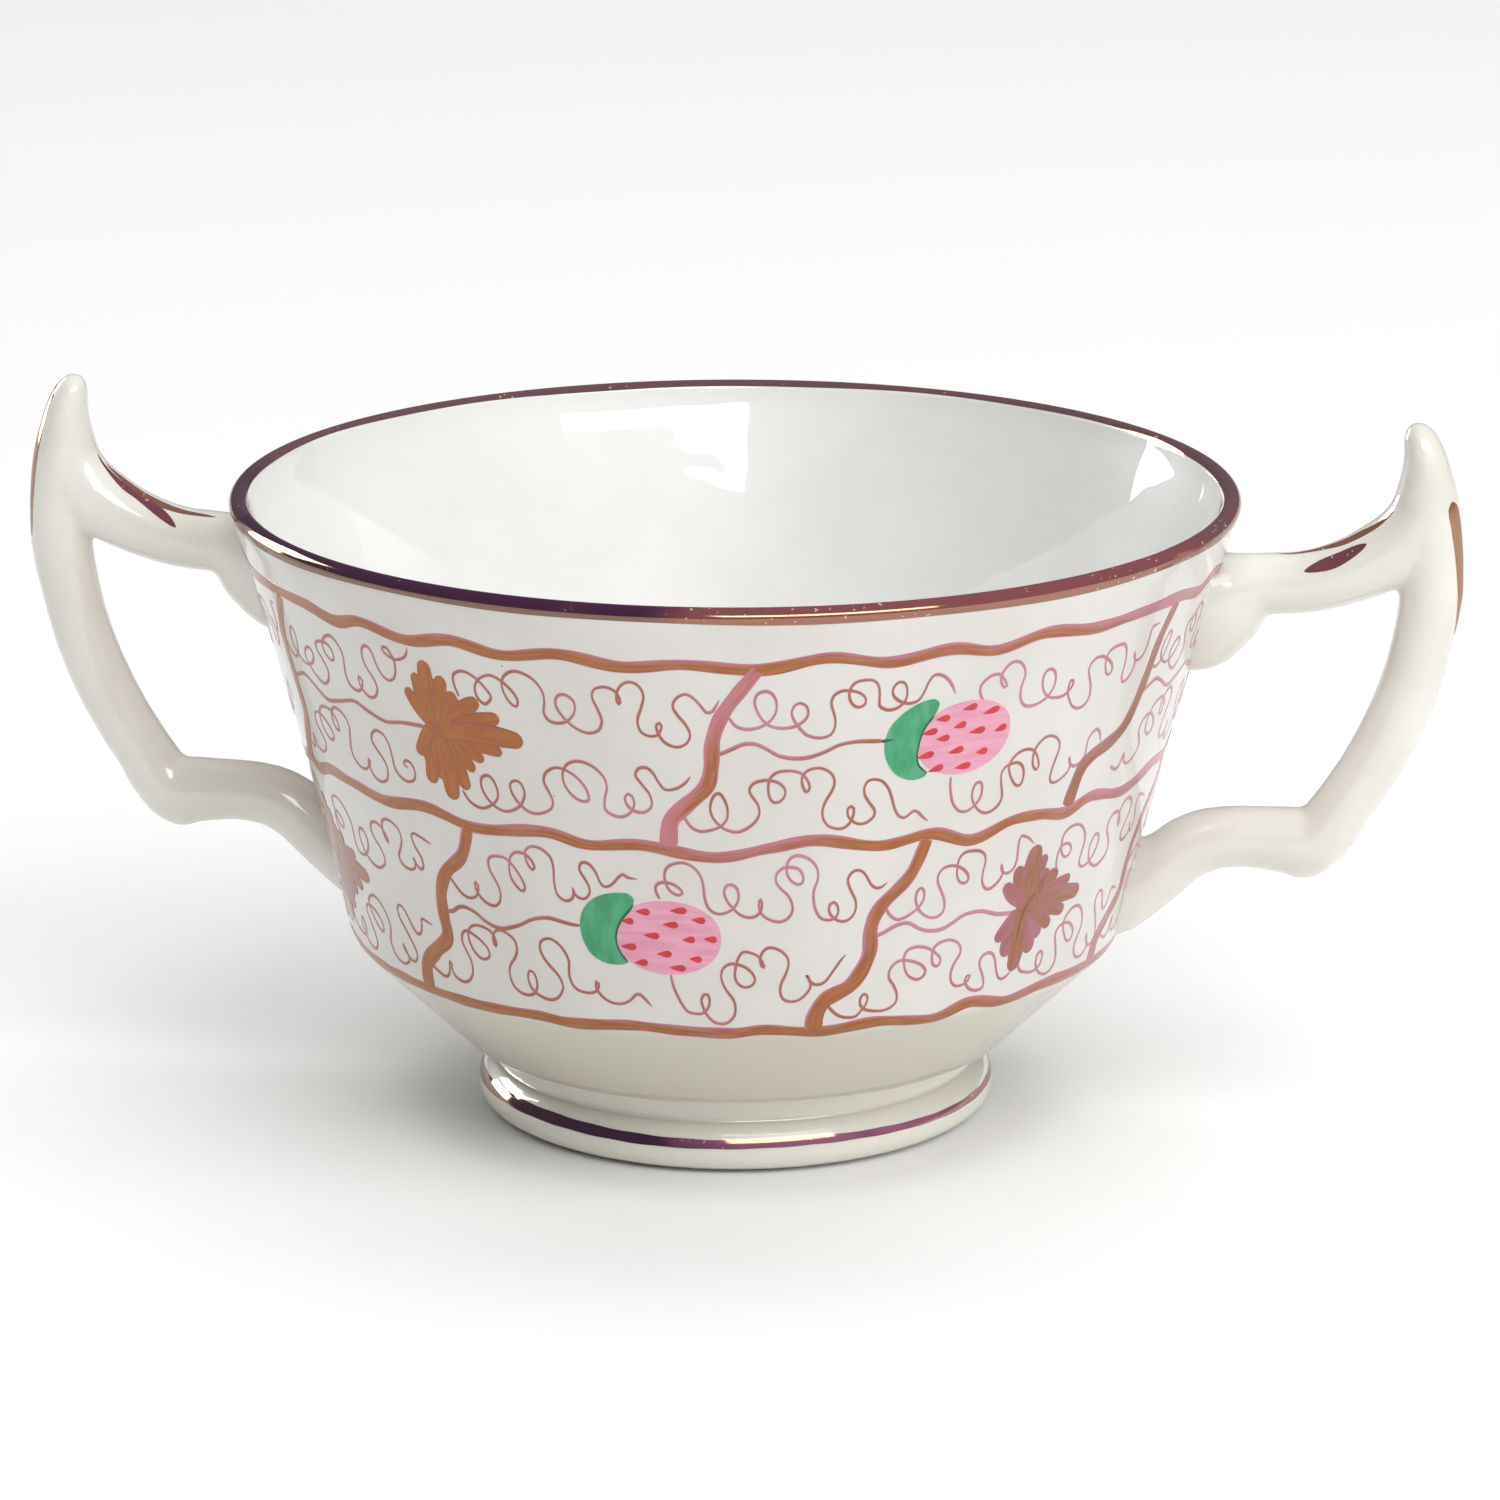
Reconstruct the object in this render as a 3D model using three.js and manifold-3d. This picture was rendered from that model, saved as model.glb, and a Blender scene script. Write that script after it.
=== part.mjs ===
// Two-handled bouillon cup: a thin flared bowl on a turned foot ring, with two angular
// handles that each end in a pointed horn above the rim. Millimetres, +Z up.
// The origin is on the bowl's axis, on the plane that the foot ring stands on,
// and the handles point along +X and -X.

import * as THREE from 'three';
import { mergeVertices } from 'three/addons/utils/BufferGeometryUtils.js';
import Module from 'manifold-3d';

// Bowl
const RIM_HEIGHT = 66.5;
const RIM_RADIUS = 52.5;
const LIP_THICKNESS = 2;
const WALL_BOW = 0.55;
const SHOULDER_HEIGHT = 19.6;
const SHOULDER_RADIUS = 40.5;
const SHOULDER_ROUNDING = 1.2;
const SHOULDER_THICKNESS = 2.9;
const UNDERSIDE_HEIGHT = 8.4;
const UNDERSIDE_RADIUS = 29;
const UNDERSIDE_ROUNDING = 0.9;
const FLOOR_THICKNESS = 4;
const FLOOR_RADIUS = 25.5;
const FLOOR_ROUNDING = 3;

// Foot ring
const FOOT_RADIUS = 27.3;
const FOOT_SWELL_HEIGHT = 2.6;
const FOOT_CREST_HEIGHT = 5.3;
const FOOT_NECK_RADIUS = 25.3;
const FOOT_NECK_HEIGHT = 6.3;
const FOOT_UNDERCUT = 3.2;
const FOOT_REST_WIDTH = 1.7;
const FOOT_INNER_RADIUS = 22;

// Handles: heights are of the centre lines, reaches are from the bowl's wall
const UPPER_ARM_BELOW_RIM = 8.2;
const LOWER_ARM_HEIGHT = 31;
const GRIP_REACH = 22.1;
const GRIP_BOW = 2.3;
const ELBOW_REACH = 18.2;
const ELBOW_THICKNESS = 7.6;
const ELBOW_LENGTH = 3.4;
const HORN_RISE = 9.2;
const HORN_LEAN = 2.1;
const HANDLE_THICKNESS = 6.4;
const GRIP_THICKNESS = 6.2;
const HANDLE_WIDTH = 6.2;
const THROAT_RISE = 5.3;
const THROAT_SETBACK = 2.3;
const THROAT_THICKNESS = 8.4;
const DROP_LENGTH = 14;
const DROP_WIDTH = 8;
const DROP_REACH = 7.7;
const DROP_SAG = 2.8;
const DROP_EGG = 0.3;
const ROOT_DROP = 8.4;
const ROOT_WIDTH = 7.6;

// How sharply the horn and the throat curve, as powers, and the shares of the drop's reach
// at which it starts to swell and is full
const HORN_CURL = 1.6;
const THROAT_CURVE = 2.1;
const DROP_START = 1.03;
const DROP_FULL = 0.12;

// Fit between the pieces, and how finely curves are divided
const JOINT_GAP = 0.3;
const ROUND_STEPS = 72;
const CURVE_STEPS = 4;
const SECTION_STEPS = 16;
const STATION_STEPS = 2;

const wasm = await Module();
wasm.setup();

// Lip arc, from the outside of the wall over the top to the inside
function addLip(path) {
  const radius = LIP_THICKNESS / 2;
  path.absarc(RIM_RADIUS - radius, RIM_HEIGHT - radius, radius, 0, Math.PI, false);
}

const mix = THREE.MathUtils.lerp;

// Share of the straight line from one point to the other
function between(from, to, share) {
  return new THREE.Vector2().lerpVectors(from, to, share);
}

// Cuts the corner between two lines with a curve that starts and ends at the given length from it
function addCorner(path, corner, next, length) {
  const before = path.currentPoint.clone();
  const start = between(corner, before, length / corner.distanceTo(before));
  const end = between(corner, next, length / corner.distanceTo(next));
  path.lineTo(start.x, start.y);
  path.quadraticCurveTo(corner.x, corner.y, end.x, end.y);
}

// A wall from where the path stands to the given point, bowed towards the axis
function addBowedWall(path, end) {
  const middle = between(path.currentPoint, end, 0.5);
  path.quadraticCurveTo(middle.x - 2 * WALL_BOW, middle.y, end.x, end.y);
}

// Outside of the bowl, from the axis below to the start of the lip
function outsideOfBowl() {
  const lipStart = new THREE.Vector2(RIM_RADIUS, RIM_HEIGHT - LIP_THICKNESS / 2);
  const shoulder = new THREE.Vector2(SHOULDER_RADIUS, SHOULDER_HEIGHT);
  const underside = new THREE.Vector2(UNDERSIDE_RADIUS, UNDERSIDE_HEIGHT);
  const path = new THREE.Path();
  path.moveTo(0, UNDERSIDE_HEIGHT);
  addCorner(path, underside, shoulder, UNDERSIDE_ROUNDING);
  addCorner(path, shoulder, lipStart, SHOULDER_ROUNDING);
  addBowedWall(path, lipStart);
  return path;
}

// Whole section of the bowl: the outside, the lip, and the inside back to the axis
function bowlSection() {
  const innerShoulder = new THREE.Vector2(SHOULDER_RADIUS - SHOULDER_THICKNESS, SHOULDER_HEIGHT);
  const floorEdge = new THREE.Vector2(FLOOR_RADIUS, UNDERSIDE_HEIGHT + FLOOR_THICKNESS);
  const floorMiddle = new THREE.Vector2(0, floorEdge.y);
  const wallFoot = new THREE.Vector2(innerShoulder.x, innerShoulder.y + SHOULDER_ROUNDING);
  const path = outsideOfBowl();
  addLip(path);
  addBowedWall(path, wallFoot);
  addCorner(path, innerShoulder, floorEdge, SHOULDER_ROUNDING);
  addCorner(path, floorEdge, floorMiddle, FLOOR_ROUNDING);
  path.lineTo(floorMiddle.x, floorMiddle.y);
  return path.getPoints(CURVE_STEPS);
}

// Radius of the bowl's outside at a height between the shoulder and the lip
function wallRadius(height) {
  const points = outsideOfBowl().getPoints(CURVE_STEPS);
  const above = points.findIndex((point) => point.y > height);
  const low = points[above - 1];
  const high = points[above];
  return low.x + ((high.x - low.x) * (height - low.y)) / (high.y - low.y);
}

// Turns a section, given as radius and height, round the Z axis
function turned(section) {
  const geometry = new THREE.LatheGeometry(section, ROUND_STEPS);
  geometry.rotateX(Math.PI / 2);
  return geometry;
}

// A closed body that can be joined and cut, from corner coordinates and the corners of each face
function solidFrom(coordinates, corners) {
  return new wasm.Manifold(
    new wasm.Mesh({
      numProp: 3,
      vertProperties: new Float32Array(coordinates),
      triVerts: new Uint32Array(corners),
    }),
  );
}

function solidOf(geometry) {
  const bare = geometry.clone();
  bare.deleteAttribute('normal');
  bare.deleteAttribute('uv');
  const merged = mergeVertices(bare);
  return solidFrom(merged.attributes.position.array, merged.index.array);
}

function geometryOf(solid) {
  const mesh = solid.getMesh();
  const geometry = new THREE.BufferGeometry();
  geometry.setAttribute('position', new THREE.BufferAttribute(mesh.vertProperties, 3));
  geometry.setIndex(new THREE.BufferAttribute(mesh.triVerts, 1));
  geometry.computeVertexNormals();
  return geometry;
}

// The bowl's outside, grown by the joint gap and closed well above the rim
function bowlEnvelope() {
  const outline = outsideOfBowl().getPoints(CURVE_STEPS);
  const grown = outline.map((point, index) => {
    const before = outline[Math.max(index - 1, 0)];
    const after = outline[Math.min(index + 1, outline.length - 1)];
    const outwards = new THREE.Vector2(after.y - before.y, before.x - after.x).setLength(JOINT_GAP);
    return new THREE.Vector2(Math.max(point.x + outwards.x, 0), point.y + outwards.y);
  });
  const top = RIM_HEIGHT + HORN_RISE;
  grown.push(new THREE.Vector2(RIM_RADIUS + JOINT_GAP, top));
  grown.push(new THREE.Vector2(0, top));
  return turned(grown);
}

// Section of the foot ring: the flat it rests on, the round swell, the neck, the top that
// meets the bowl, and the sloped inside
function footSection() {
  const top = UNDERSIDE_HEIGHT - JOINT_GAP;
  const restOuter = FOOT_RADIUS - FOOT_UNDERCUT;
  const crestRadius = (FOOT_RADIUS + FOOT_NECK_RADIUS) / 2;
  const path = new THREE.Path();
  path.moveTo(restOuter - FOOT_REST_WIDTH, 0);
  path.lineTo(restOuter, 0);
  path.quadraticCurveTo(FOOT_RADIUS, 0, FOOT_RADIUS, FOOT_SWELL_HEIGHT);
  path.quadraticCurveTo(FOOT_RADIUS, FOOT_CREST_HEIGHT, crestRadius, FOOT_CREST_HEIGHT);
  path.quadraticCurveTo(FOOT_NECK_RADIUS, FOOT_CREST_HEIGHT, FOOT_NECK_RADIUS, FOOT_NECK_HEIGHT);
  path.lineTo(FOOT_NECK_RADIUS, top);
  path.lineTo(FOOT_INNER_RADIUS, top);
  path.closePath();
  return path.getPoints(CURVE_STEPS);
}

// One cross-section of a handle: its centre as distance from the axis and height, its
// thickness in the plane of the handle, its width across, and how far it is egg-shaped,
// with the fuller end down
function station(out, height, thickness, width, egg = 0) {
  return { centre: new THREE.Vector3(out, 0, height), thickness, width, egg };
}

// Skins a row of stations with oval sections, square to the smooth line through their centres
function loft(stations) {
  const line = new THREE.CatmullRomCurve3(stations.map((item) => item.centre));
  const sizes = new THREE.CatmullRomCurve3(
    stations.map((item) => new THREE.Vector3(item.thickness / 2, item.width / 2, item.egg)),
  );
  const rings = (stations.length - 1) * STATION_STEPS;
  const across = new THREE.Vector3(0, 1, 0);
  const points = [];
  const faces = [];
  for (let ring = 0; ring <= rings; ring += 1) {
    const centre = line.getPoint(ring / rings);
    const upwards = line.getTangent(ring / rings).cross(across);
    const size = sizes.getPoint(ring / rings);
    for (let side = 0; side < SECTION_STEPS; side += 1) {
      const angle = (2 * Math.PI * side) / SECTION_STEPS;
      const rise = size.x * Math.cos(angle);
      const spread = size.y * Math.sin(angle) * (1 - size.z * Math.cos(angle));
      const point = centre.clone().addScaledVector(upwards, rise).addScaledVector(across, spread);
      points.push(point.x, point.y, point.z);
    }
  }
  for (let ring = 0; ring < rings; ring += 1) {
    for (let side = 0; side < SECTION_STEPS; side += 1) {
      const here = ring * SECTION_STEPS + side;
      const beside = ring * SECTION_STEPS + ((side + 1) % SECTION_STEPS);
      faces.push(here, here + SECTION_STEPS, beside);
      faces.push(beside, here + SECTION_STEPS, beside + SECTION_STEPS);
    }
  }
  const last = rings * SECTION_STEPS;
  for (let side = 1; side < SECTION_STEPS - 1; side += 1) {
    faces.push(0, side, side + 1);
    faces.push(last, last + side + 1, last + side);
  }
  return solidFrom(points, faces);
}

// Where the handle's lines run: the arms' heights, the grip's centre line at the upper
// arm, the elbow at the lower arm, and the wall that the drop's low end rests on
const UPPER_ARM_HEIGHT = RIM_HEIGHT - UPPER_ARM_BELOW_RIM;
const UPPER_WALL = wallRadius(UPPER_ARM_HEIGHT);
const LOWER_WALL = wallRadius(LOWER_ARM_HEIGHT);
const DROP_WALL = wallRadius(UPPER_ARM_HEIGHT - DROP_SAG - DROP_LENGTH / 2);
const GRIP_LINE = UPPER_WALL + GRIP_REACH;
const ELBOW_LINE = LOWER_WALL + ELBOW_REACH;
const HORN_TIP_HEIGHT = RIM_HEIGHT + HORN_RISE;

// Centre line of the horn, from its tip down to the height of the upper arm, leaning in
// more and more towards the tip
function hornLine(share) {
  const lean = HORN_LEAN * Math.pow(1 - share, HORN_CURL);
  return new THREE.Vector2(GRIP_LINE - lean, mix(HORN_TIP_HEIGHT, UPPER_ARM_HEIGHT, share));
}

// Horn: share of the way down, then thickness and width as shares of the plain handle's
const HORN_FORM = [
  [0, 0.25, 0.25],
  [0.06, 0.52, 0.55],
  [0.2, 0.76, 0.78],
  [0.38, 0.98, 0.95],
  [0.6, 1.07, 1],
  [1, 1.03, 1],
];

// Root of the lower arm: reach from the wall, drop below the arm as a share of the
// root's drop, and thickness as a share of the plain handle's
const ROOT_FORM = [
  [11, -0.02, 1],
  [7.2, 0.03, 1.02],
  [4.4, 0.18, 1.04],
  [1.6, 0.48, 1.04],
  [-0.5, 0.75, 0.95],
  [-2.4, 1, 0.8],
  [-4.4, 1.15, 0.75],
];

// Where the stations stand: down the grip, along the upper arm from throat to drop, and
// through the drop from the arm to inside the wall
const GRIP_STATIONS = [0.2, 0.4, 0.62, 0.84];
const ARM_STATIONS = [1, 0.8, 0.62, 0.4, 0.2];
const DROP_STATIONS = [1, 0.76, 0.58, 0.42, 0.24, 0, -0.35];

// Horn, grip, elbow and lower arm, from the tip of the horn down and in to the wall
function gripLoft() {
  const stations = HORN_FORM.map(([share, thickness, width]) => {
    const centre = hornLine(share);
    return station(centre.x, centre.y, HANDLE_THICKNESS * thickness, HANDLE_WIDTH * width);
  });
  for (const share of GRIP_STATIONS) {
    const out = mix(GRIP_LINE, ELBOW_LINE, share) + GRIP_BOW * Math.sin(Math.PI * share);
    const height = mix(UPPER_ARM_HEIGHT, LOWER_ARM_HEIGHT, share);
    stations.push(station(out, height, GRIP_THICKNESS, HANDLE_WIDTH));
  }
  const elbowEnd = ELBOW_LINE - ELBOW_LENGTH;
  const elbowEndThickness = (ELBOW_THICKNESS + HANDLE_THICKNESS) / 2;
  stations.push(station(ELBOW_LINE, LOWER_ARM_HEIGHT, ELBOW_THICKNESS, HANDLE_WIDTH));
  stations.push(station(elbowEnd, LOWER_ARM_HEIGHT, elbowEndThickness, HANDLE_WIDTH));
  for (const [reach, drop, thickness] of ROOT_FORM) {
    const height = LOWER_ARM_HEIGHT - ROOT_DROP * drop;
    const width = mix(HANDLE_WIDTH, ROOT_WIDTH, Math.max(drop, 0));
    stations.push(station(LOWER_WALL + reach, height, HANDLE_THICKNESS * thickness, width));
  }
  return loft(stations);
}

// Upper arm, from inside the horn, through the curved throat, to the drop on the wall.
// Its first two stations are buried in the horn, so they are slimmer than it.
function upperArmLoft() {
  const throat = GRIP_LINE - THROAT_SETBACK;
  const armEnd = DROP_WALL + DROP_REACH;
  const stations = [0.33, 0.47].map((share) => {
    const centre = hornLine(share);
    const slimming = 0.5 + share;
    return station(centre.x, centre.y, HANDLE_THICKNESS * slimming, HANDLE_WIDTH * slimming);
  });
  for (const share of ARM_STATIONS) {
    const height = UPPER_ARM_HEIGHT + THROAT_RISE * Math.pow(share, THROAT_CURVE);
    const thickness = mix(HANDLE_THICKNESS, THROAT_THICKNESS, Math.pow(share, THROAT_CURVE + 1));
    stations.push(station(mix(armEnd, throat, share), height, thickness, HANDLE_WIDTH));
  }
  for (const share of DROP_STATIONS) {
    const swell = 1 - THREE.MathUtils.smoothstep(share, DROP_FULL, DROP_START);
    stations.push(
      station(
        DROP_WALL + DROP_REACH * share,
        UPPER_ARM_HEIGHT - DROP_SAG * swell,
        mix(HANDLE_THICKNESS, DROP_LENGTH, swell),
        mix(HANDLE_WIDTH, DROP_WIDTH, swell),
        DROP_EGG * swell,
      ),
    );
  }
  return loft(stations);
}

// A whole handle, trimmed to stand off the bowl by the joint gap
function handleGeometry() {
  const whole = gripLoft().add(upperArmLoft());
  return geometryOf(whole.subtract(solidOf(bowlEnvelope())));
}

function glaze(colour, roughness) {
  return new THREE.MeshStandardMaterial({ color: colour, roughness, metalness: 0 });
}

function piece(name, geometry, material) {
  const mesh = new THREE.Mesh(geometry, material);
  mesh.name = name;
  return mesh;
}

const cup = new THREE.Group();
cup.add(piece('bowl', turned(bowlSection()), glaze(0xeceae2, 0.12)));
cup.add(piece('foot_ring', turned(footSection()), glaze(0xe6e3d8, 0.14)));

const handle = handleGeometry();
const rightHandle = piece('right_handle', handle, glaze(0xe9e6dc, 0.13));
const leftHandle = piece('left_handle', handle, glaze(0xe9e6dc, 0.13));
leftHandle.rotation.z = Math.PI;
cup.add(rightHandle, leftHandle);

export default cup;
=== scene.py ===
import math

import bpy
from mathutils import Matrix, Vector


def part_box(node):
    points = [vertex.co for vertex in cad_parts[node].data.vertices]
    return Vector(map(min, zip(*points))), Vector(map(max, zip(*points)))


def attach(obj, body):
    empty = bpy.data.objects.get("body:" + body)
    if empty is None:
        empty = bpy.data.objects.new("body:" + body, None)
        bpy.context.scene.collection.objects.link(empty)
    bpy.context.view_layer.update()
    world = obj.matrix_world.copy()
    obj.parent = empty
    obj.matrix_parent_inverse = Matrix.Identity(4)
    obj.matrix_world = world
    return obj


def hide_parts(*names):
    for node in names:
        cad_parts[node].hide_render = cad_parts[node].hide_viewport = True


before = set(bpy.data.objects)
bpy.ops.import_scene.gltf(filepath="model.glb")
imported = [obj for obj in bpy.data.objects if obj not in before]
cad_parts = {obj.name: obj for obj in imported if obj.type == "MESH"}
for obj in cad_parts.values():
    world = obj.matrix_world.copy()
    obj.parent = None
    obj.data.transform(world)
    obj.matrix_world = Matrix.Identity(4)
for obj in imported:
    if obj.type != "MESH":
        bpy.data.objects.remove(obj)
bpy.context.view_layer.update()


# Camera
# A long lens 0.7 m away looks 16 degrees down on the cup, from a little to the right of
# square on, so that the right handle is nearer. It aims just above and beside the cup's
# axis, where the middle of the square picture falls.
IMAGE_SIDE = 1500
FOCAL_LENGTH_PIXELS = 6643.8
SENSOR_WIDTH = 36.0
CAMERA_DISTANCE = 0.7
CAMERA_ELEVATION = math.radians(16.134)
CAMERA_AZIMUTH = math.radians(9.7)
LOOKED_AT = Vector((0, 0, 0.03))
AIM_RIGHT = 0.00155
AIM_UP = 0.00769

away = Vector((
    math.sin(CAMERA_AZIMUTH) * math.cos(CAMERA_ELEVATION),
    -math.cos(CAMERA_AZIMUTH) * math.cos(CAMERA_ELEVATION),
    math.sin(CAMERA_ELEVATION),
))
picture_right = Vector((0, 0, 1)).cross(away).normalized()
picture_up = away.cross(picture_right)
aim = LOOKED_AT + picture_right * AIM_RIGHT + picture_up * AIM_UP

camera_data = bpy.data.cameras.new("camera")
camera_data.sensor_width = SENSOR_WIDTH
camera_data.lens = SENSOR_WIDTH * FOCAL_LENGTH_PIXELS / IMAGE_SIDE
camera_data.clip_start = 0.05
camera_data.clip_end = 20
camera = bpy.data.objects.new("camera", camera_data)
bpy.context.scene.collection.objects.link(camera)
camera.location = LOOKED_AT + away * CAMERA_DISTANCE
camera.rotation_euler = (aim - camera.location).to_track_quat("-Z", "Y").to_euler()
bpy.context.scene.camera = camera


# Bowl
# A thin earthenware bowl, thrown and turned: flat inside at the bottom, a cone up to a
# crisp shoulder, a wall that flares and bows in a little, and a half-round lip. It is
# dipped in a clear lead glaze that pools into faint ripples, with a few specks and pinholes.
MM = 0.001
PAINT_THICKNESS = 0.03
RIM_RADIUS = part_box("bowl")[1].x / MM - PAINT_THICKNESS
RIM_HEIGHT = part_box("bowl")[1].z / MM - PAINT_THICKNESS
LIP_THICKNESS = 2
WALL_BOW = 0.55
SHOULDER_HEIGHT = 19.6
SHOULDER_RADIUS = 40.5
SHOULDER_ROUNDING = 1.2
SHOULDER_THICKNESS = 2.9
UNDERSIDE_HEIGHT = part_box("bowl")[0].z / MM
UNDERSIDE_RADIUS = 29
UNDERSIDE_ROUNDING = 0.9
FLOOR_THICKNESS = 4
FLOOR_RADIUS = 25.5
FLOOR_ROUNDING = 3
TURNING_STEPS = 288
CORNER_STEPS = 5
WALL_STEPS = 24
LIP_STEPS = 12
WELD_DISTANCE = 0.000002
EDGE_ANGLE = math.radians(50)


def bend(start, middle, end, steps):
    """Points of a curve that leaves start and reaches end, drawn towards middle."""
    shares = [step / steps for step in range(steps + 1)]
    return [start.lerp(middle, s).lerp(middle.lerp(end, s), s) for s in shares]


def corner(before, point, after, length):
    """A rounded corner that starts and ends the given length from the sharp one."""
    start = point + (before - point).normalized() * length
    end = point + (after - point).normalized() * length
    return bend(start, point, end, CORNER_STEPS)


def bowed_wall(start, end):
    """A wall from start to end, bowed towards the axis."""
    middle = (start + end) / 2 - Vector((2 * WALL_BOW, 0))
    return bend(start, middle, end, WALL_STEPS)


def arc(centre, radius, first, last, steps):
    """Points of a round arc between two angles in degrees."""
    angles = [math.radians(first + (last - first) * step / steps) for step in range(steps + 1)]
    return [centre + radius * Vector((math.cos(a), math.sin(a))) for a in angles]


underside_edge = Vector((UNDERSIDE_RADIUS, UNDERSIDE_HEIGHT))
shoulder = Vector((SHOULDER_RADIUS, SHOULDER_HEIGHT))
lip_radius = LIP_THICKNESS / 2
lip_centre = Vector((RIM_RADIUS - lip_radius, RIM_HEIGHT - lip_radius))
inner_shoulder = shoulder - Vector((SHOULDER_THICKNESS, 0))
floor_edge = Vector((FLOOR_RADIUS, UNDERSIDE_HEIGHT + FLOOR_THICKNESS))

outside = [Vector((0, UNDERSIDE_HEIGHT))]
outside += corner(outside[0], underside_edge, shoulder, UNDERSIDE_ROUNDING)
outside += corner(underside_edge, shoulder, lip_centre + Vector((lip_radius, 0)), SHOULDER_ROUNDING)
outside += bowed_wall(outside.pop(), lip_centre + Vector((lip_radius, 0)))
lip = arc(lip_centre, lip_radius, 0, 180, LIP_STEPS)
wall_foot = inner_shoulder + Vector((0, SHOULDER_ROUNDING))
inside = bowed_wall(lip[-1], wall_foot)[:-1]
inside += corner(wall_foot, inner_shoulder, floor_edge, SHOULDER_ROUNDING)
inside += corner(inner_shoulder, floor_edge, Vector((0, floor_edge.y)), FLOOR_ROUNDING)
inside.append(Vector((0, floor_edge.y)))


def in_profile(point):
    """A radius and height in mm as a place in front of the axis, in metres."""
    return Vector((point.x, 0, point.y)) * MM


def outlined(name, outline):
    """Draws an outline from point to point in front of the axis, and stays in edit mode."""
    bpy.ops.object.select_all(action="DESELECT")
    bpy.ops.mesh.primitive_plane_add(size=MM, location=(0, 0, 0))
    piece = bpy.context.object
    piece.name = name
    bpy.ops.object.mode_set(mode="EDIT")
    bpy.ops.mesh.merge(type="CENTER")
    bpy.ops.transform.translate(value=in_profile(outline[0]))
    for here, there in zip(outline, outline[1:]):
        step = in_profile(there) - in_profile(here)
        bpy.ops.mesh.extrude_region_move(TRANSFORM_OT_translate={"value": step})
    bpy.ops.mesh.select_all(action="SELECT")
    return piece


def turned(name, outline):
    """Draws an outline and turns it once round the cup's axis."""
    piece = outlined(name, outline)
    bpy.ops.mesh.spin(steps=TURNING_STEPS, angle=math.tau, center=(0, 0, 0), axis=(0, 0, 1))
    bpy.ops.mesh.select_all(action="SELECT")
    bpy.ops.mesh.remove_doubles(threshold=WELD_DISTANCE)
    bpy.ops.mesh.normals_make_consistent(inside=False)
    bpy.ops.object.mode_set(mode="OBJECT")
    bpy.ops.object.shade_smooth_by_angle(angle=EDGE_ANGLE)
    return piece


def colour(code):
    """An sRGB hex colour as the linear colour that a shader takes."""
    parts = [int(code[i:i + 2], 16) / 255 for i in (1, 3, 5)]
    linear = [p / 12.92 if p <= 0.04045 else ((p + 0.055) / 1.055) ** 2.4 for p in parts]
    return (*linear, 1)


def new_material(name):
    material = bpy.data.materials.new(name)
    material.use_nodes = True
    return material


def add_node(material, kind, output, inputs, **settings):
    """Adds a shader node and gives one of its outputs. An input's value is a constant, or the
    output that feeds it."""
    made = material.node_tree.nodes.new(kind)
    for setting, value in settings.items():
        setattr(made, setting, value)
    for key, value in inputs.items():
        if isinstance(value, bpy.types.NodeSocket):
            material.node_tree.links.new(value, made.inputs[key])
        else:
            made.inputs[key].default_value = value
    return made.outputs[output]


# The sockets of a Mix node that mixes colours, and the way that a Map Range node steps.
SHARE, FIRST, SECOND, MIXED = 0, 6, 7, 2
SMOOTH = {"interpolation_type": "SMOOTHSTEP"}

# In metres, as Object coordinates are.
GLAZE_CLOUD_SIZE = 0.014
GLAZE_RIPPLE_SIZE = 0.006
GLAZE_RIPPLE_DEPTH = 0.00005
SPECK_SPACING = 0.007
SPECK_RADIUS = 0.00016
SPECK_COLOUR = "#6E675C"
# Heights over which the colour turns to the underside's darker one: painted shade, with some real pooling of
# the glaze.
UNDER_SHOULDER = (0.0204, 0.0186)


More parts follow.
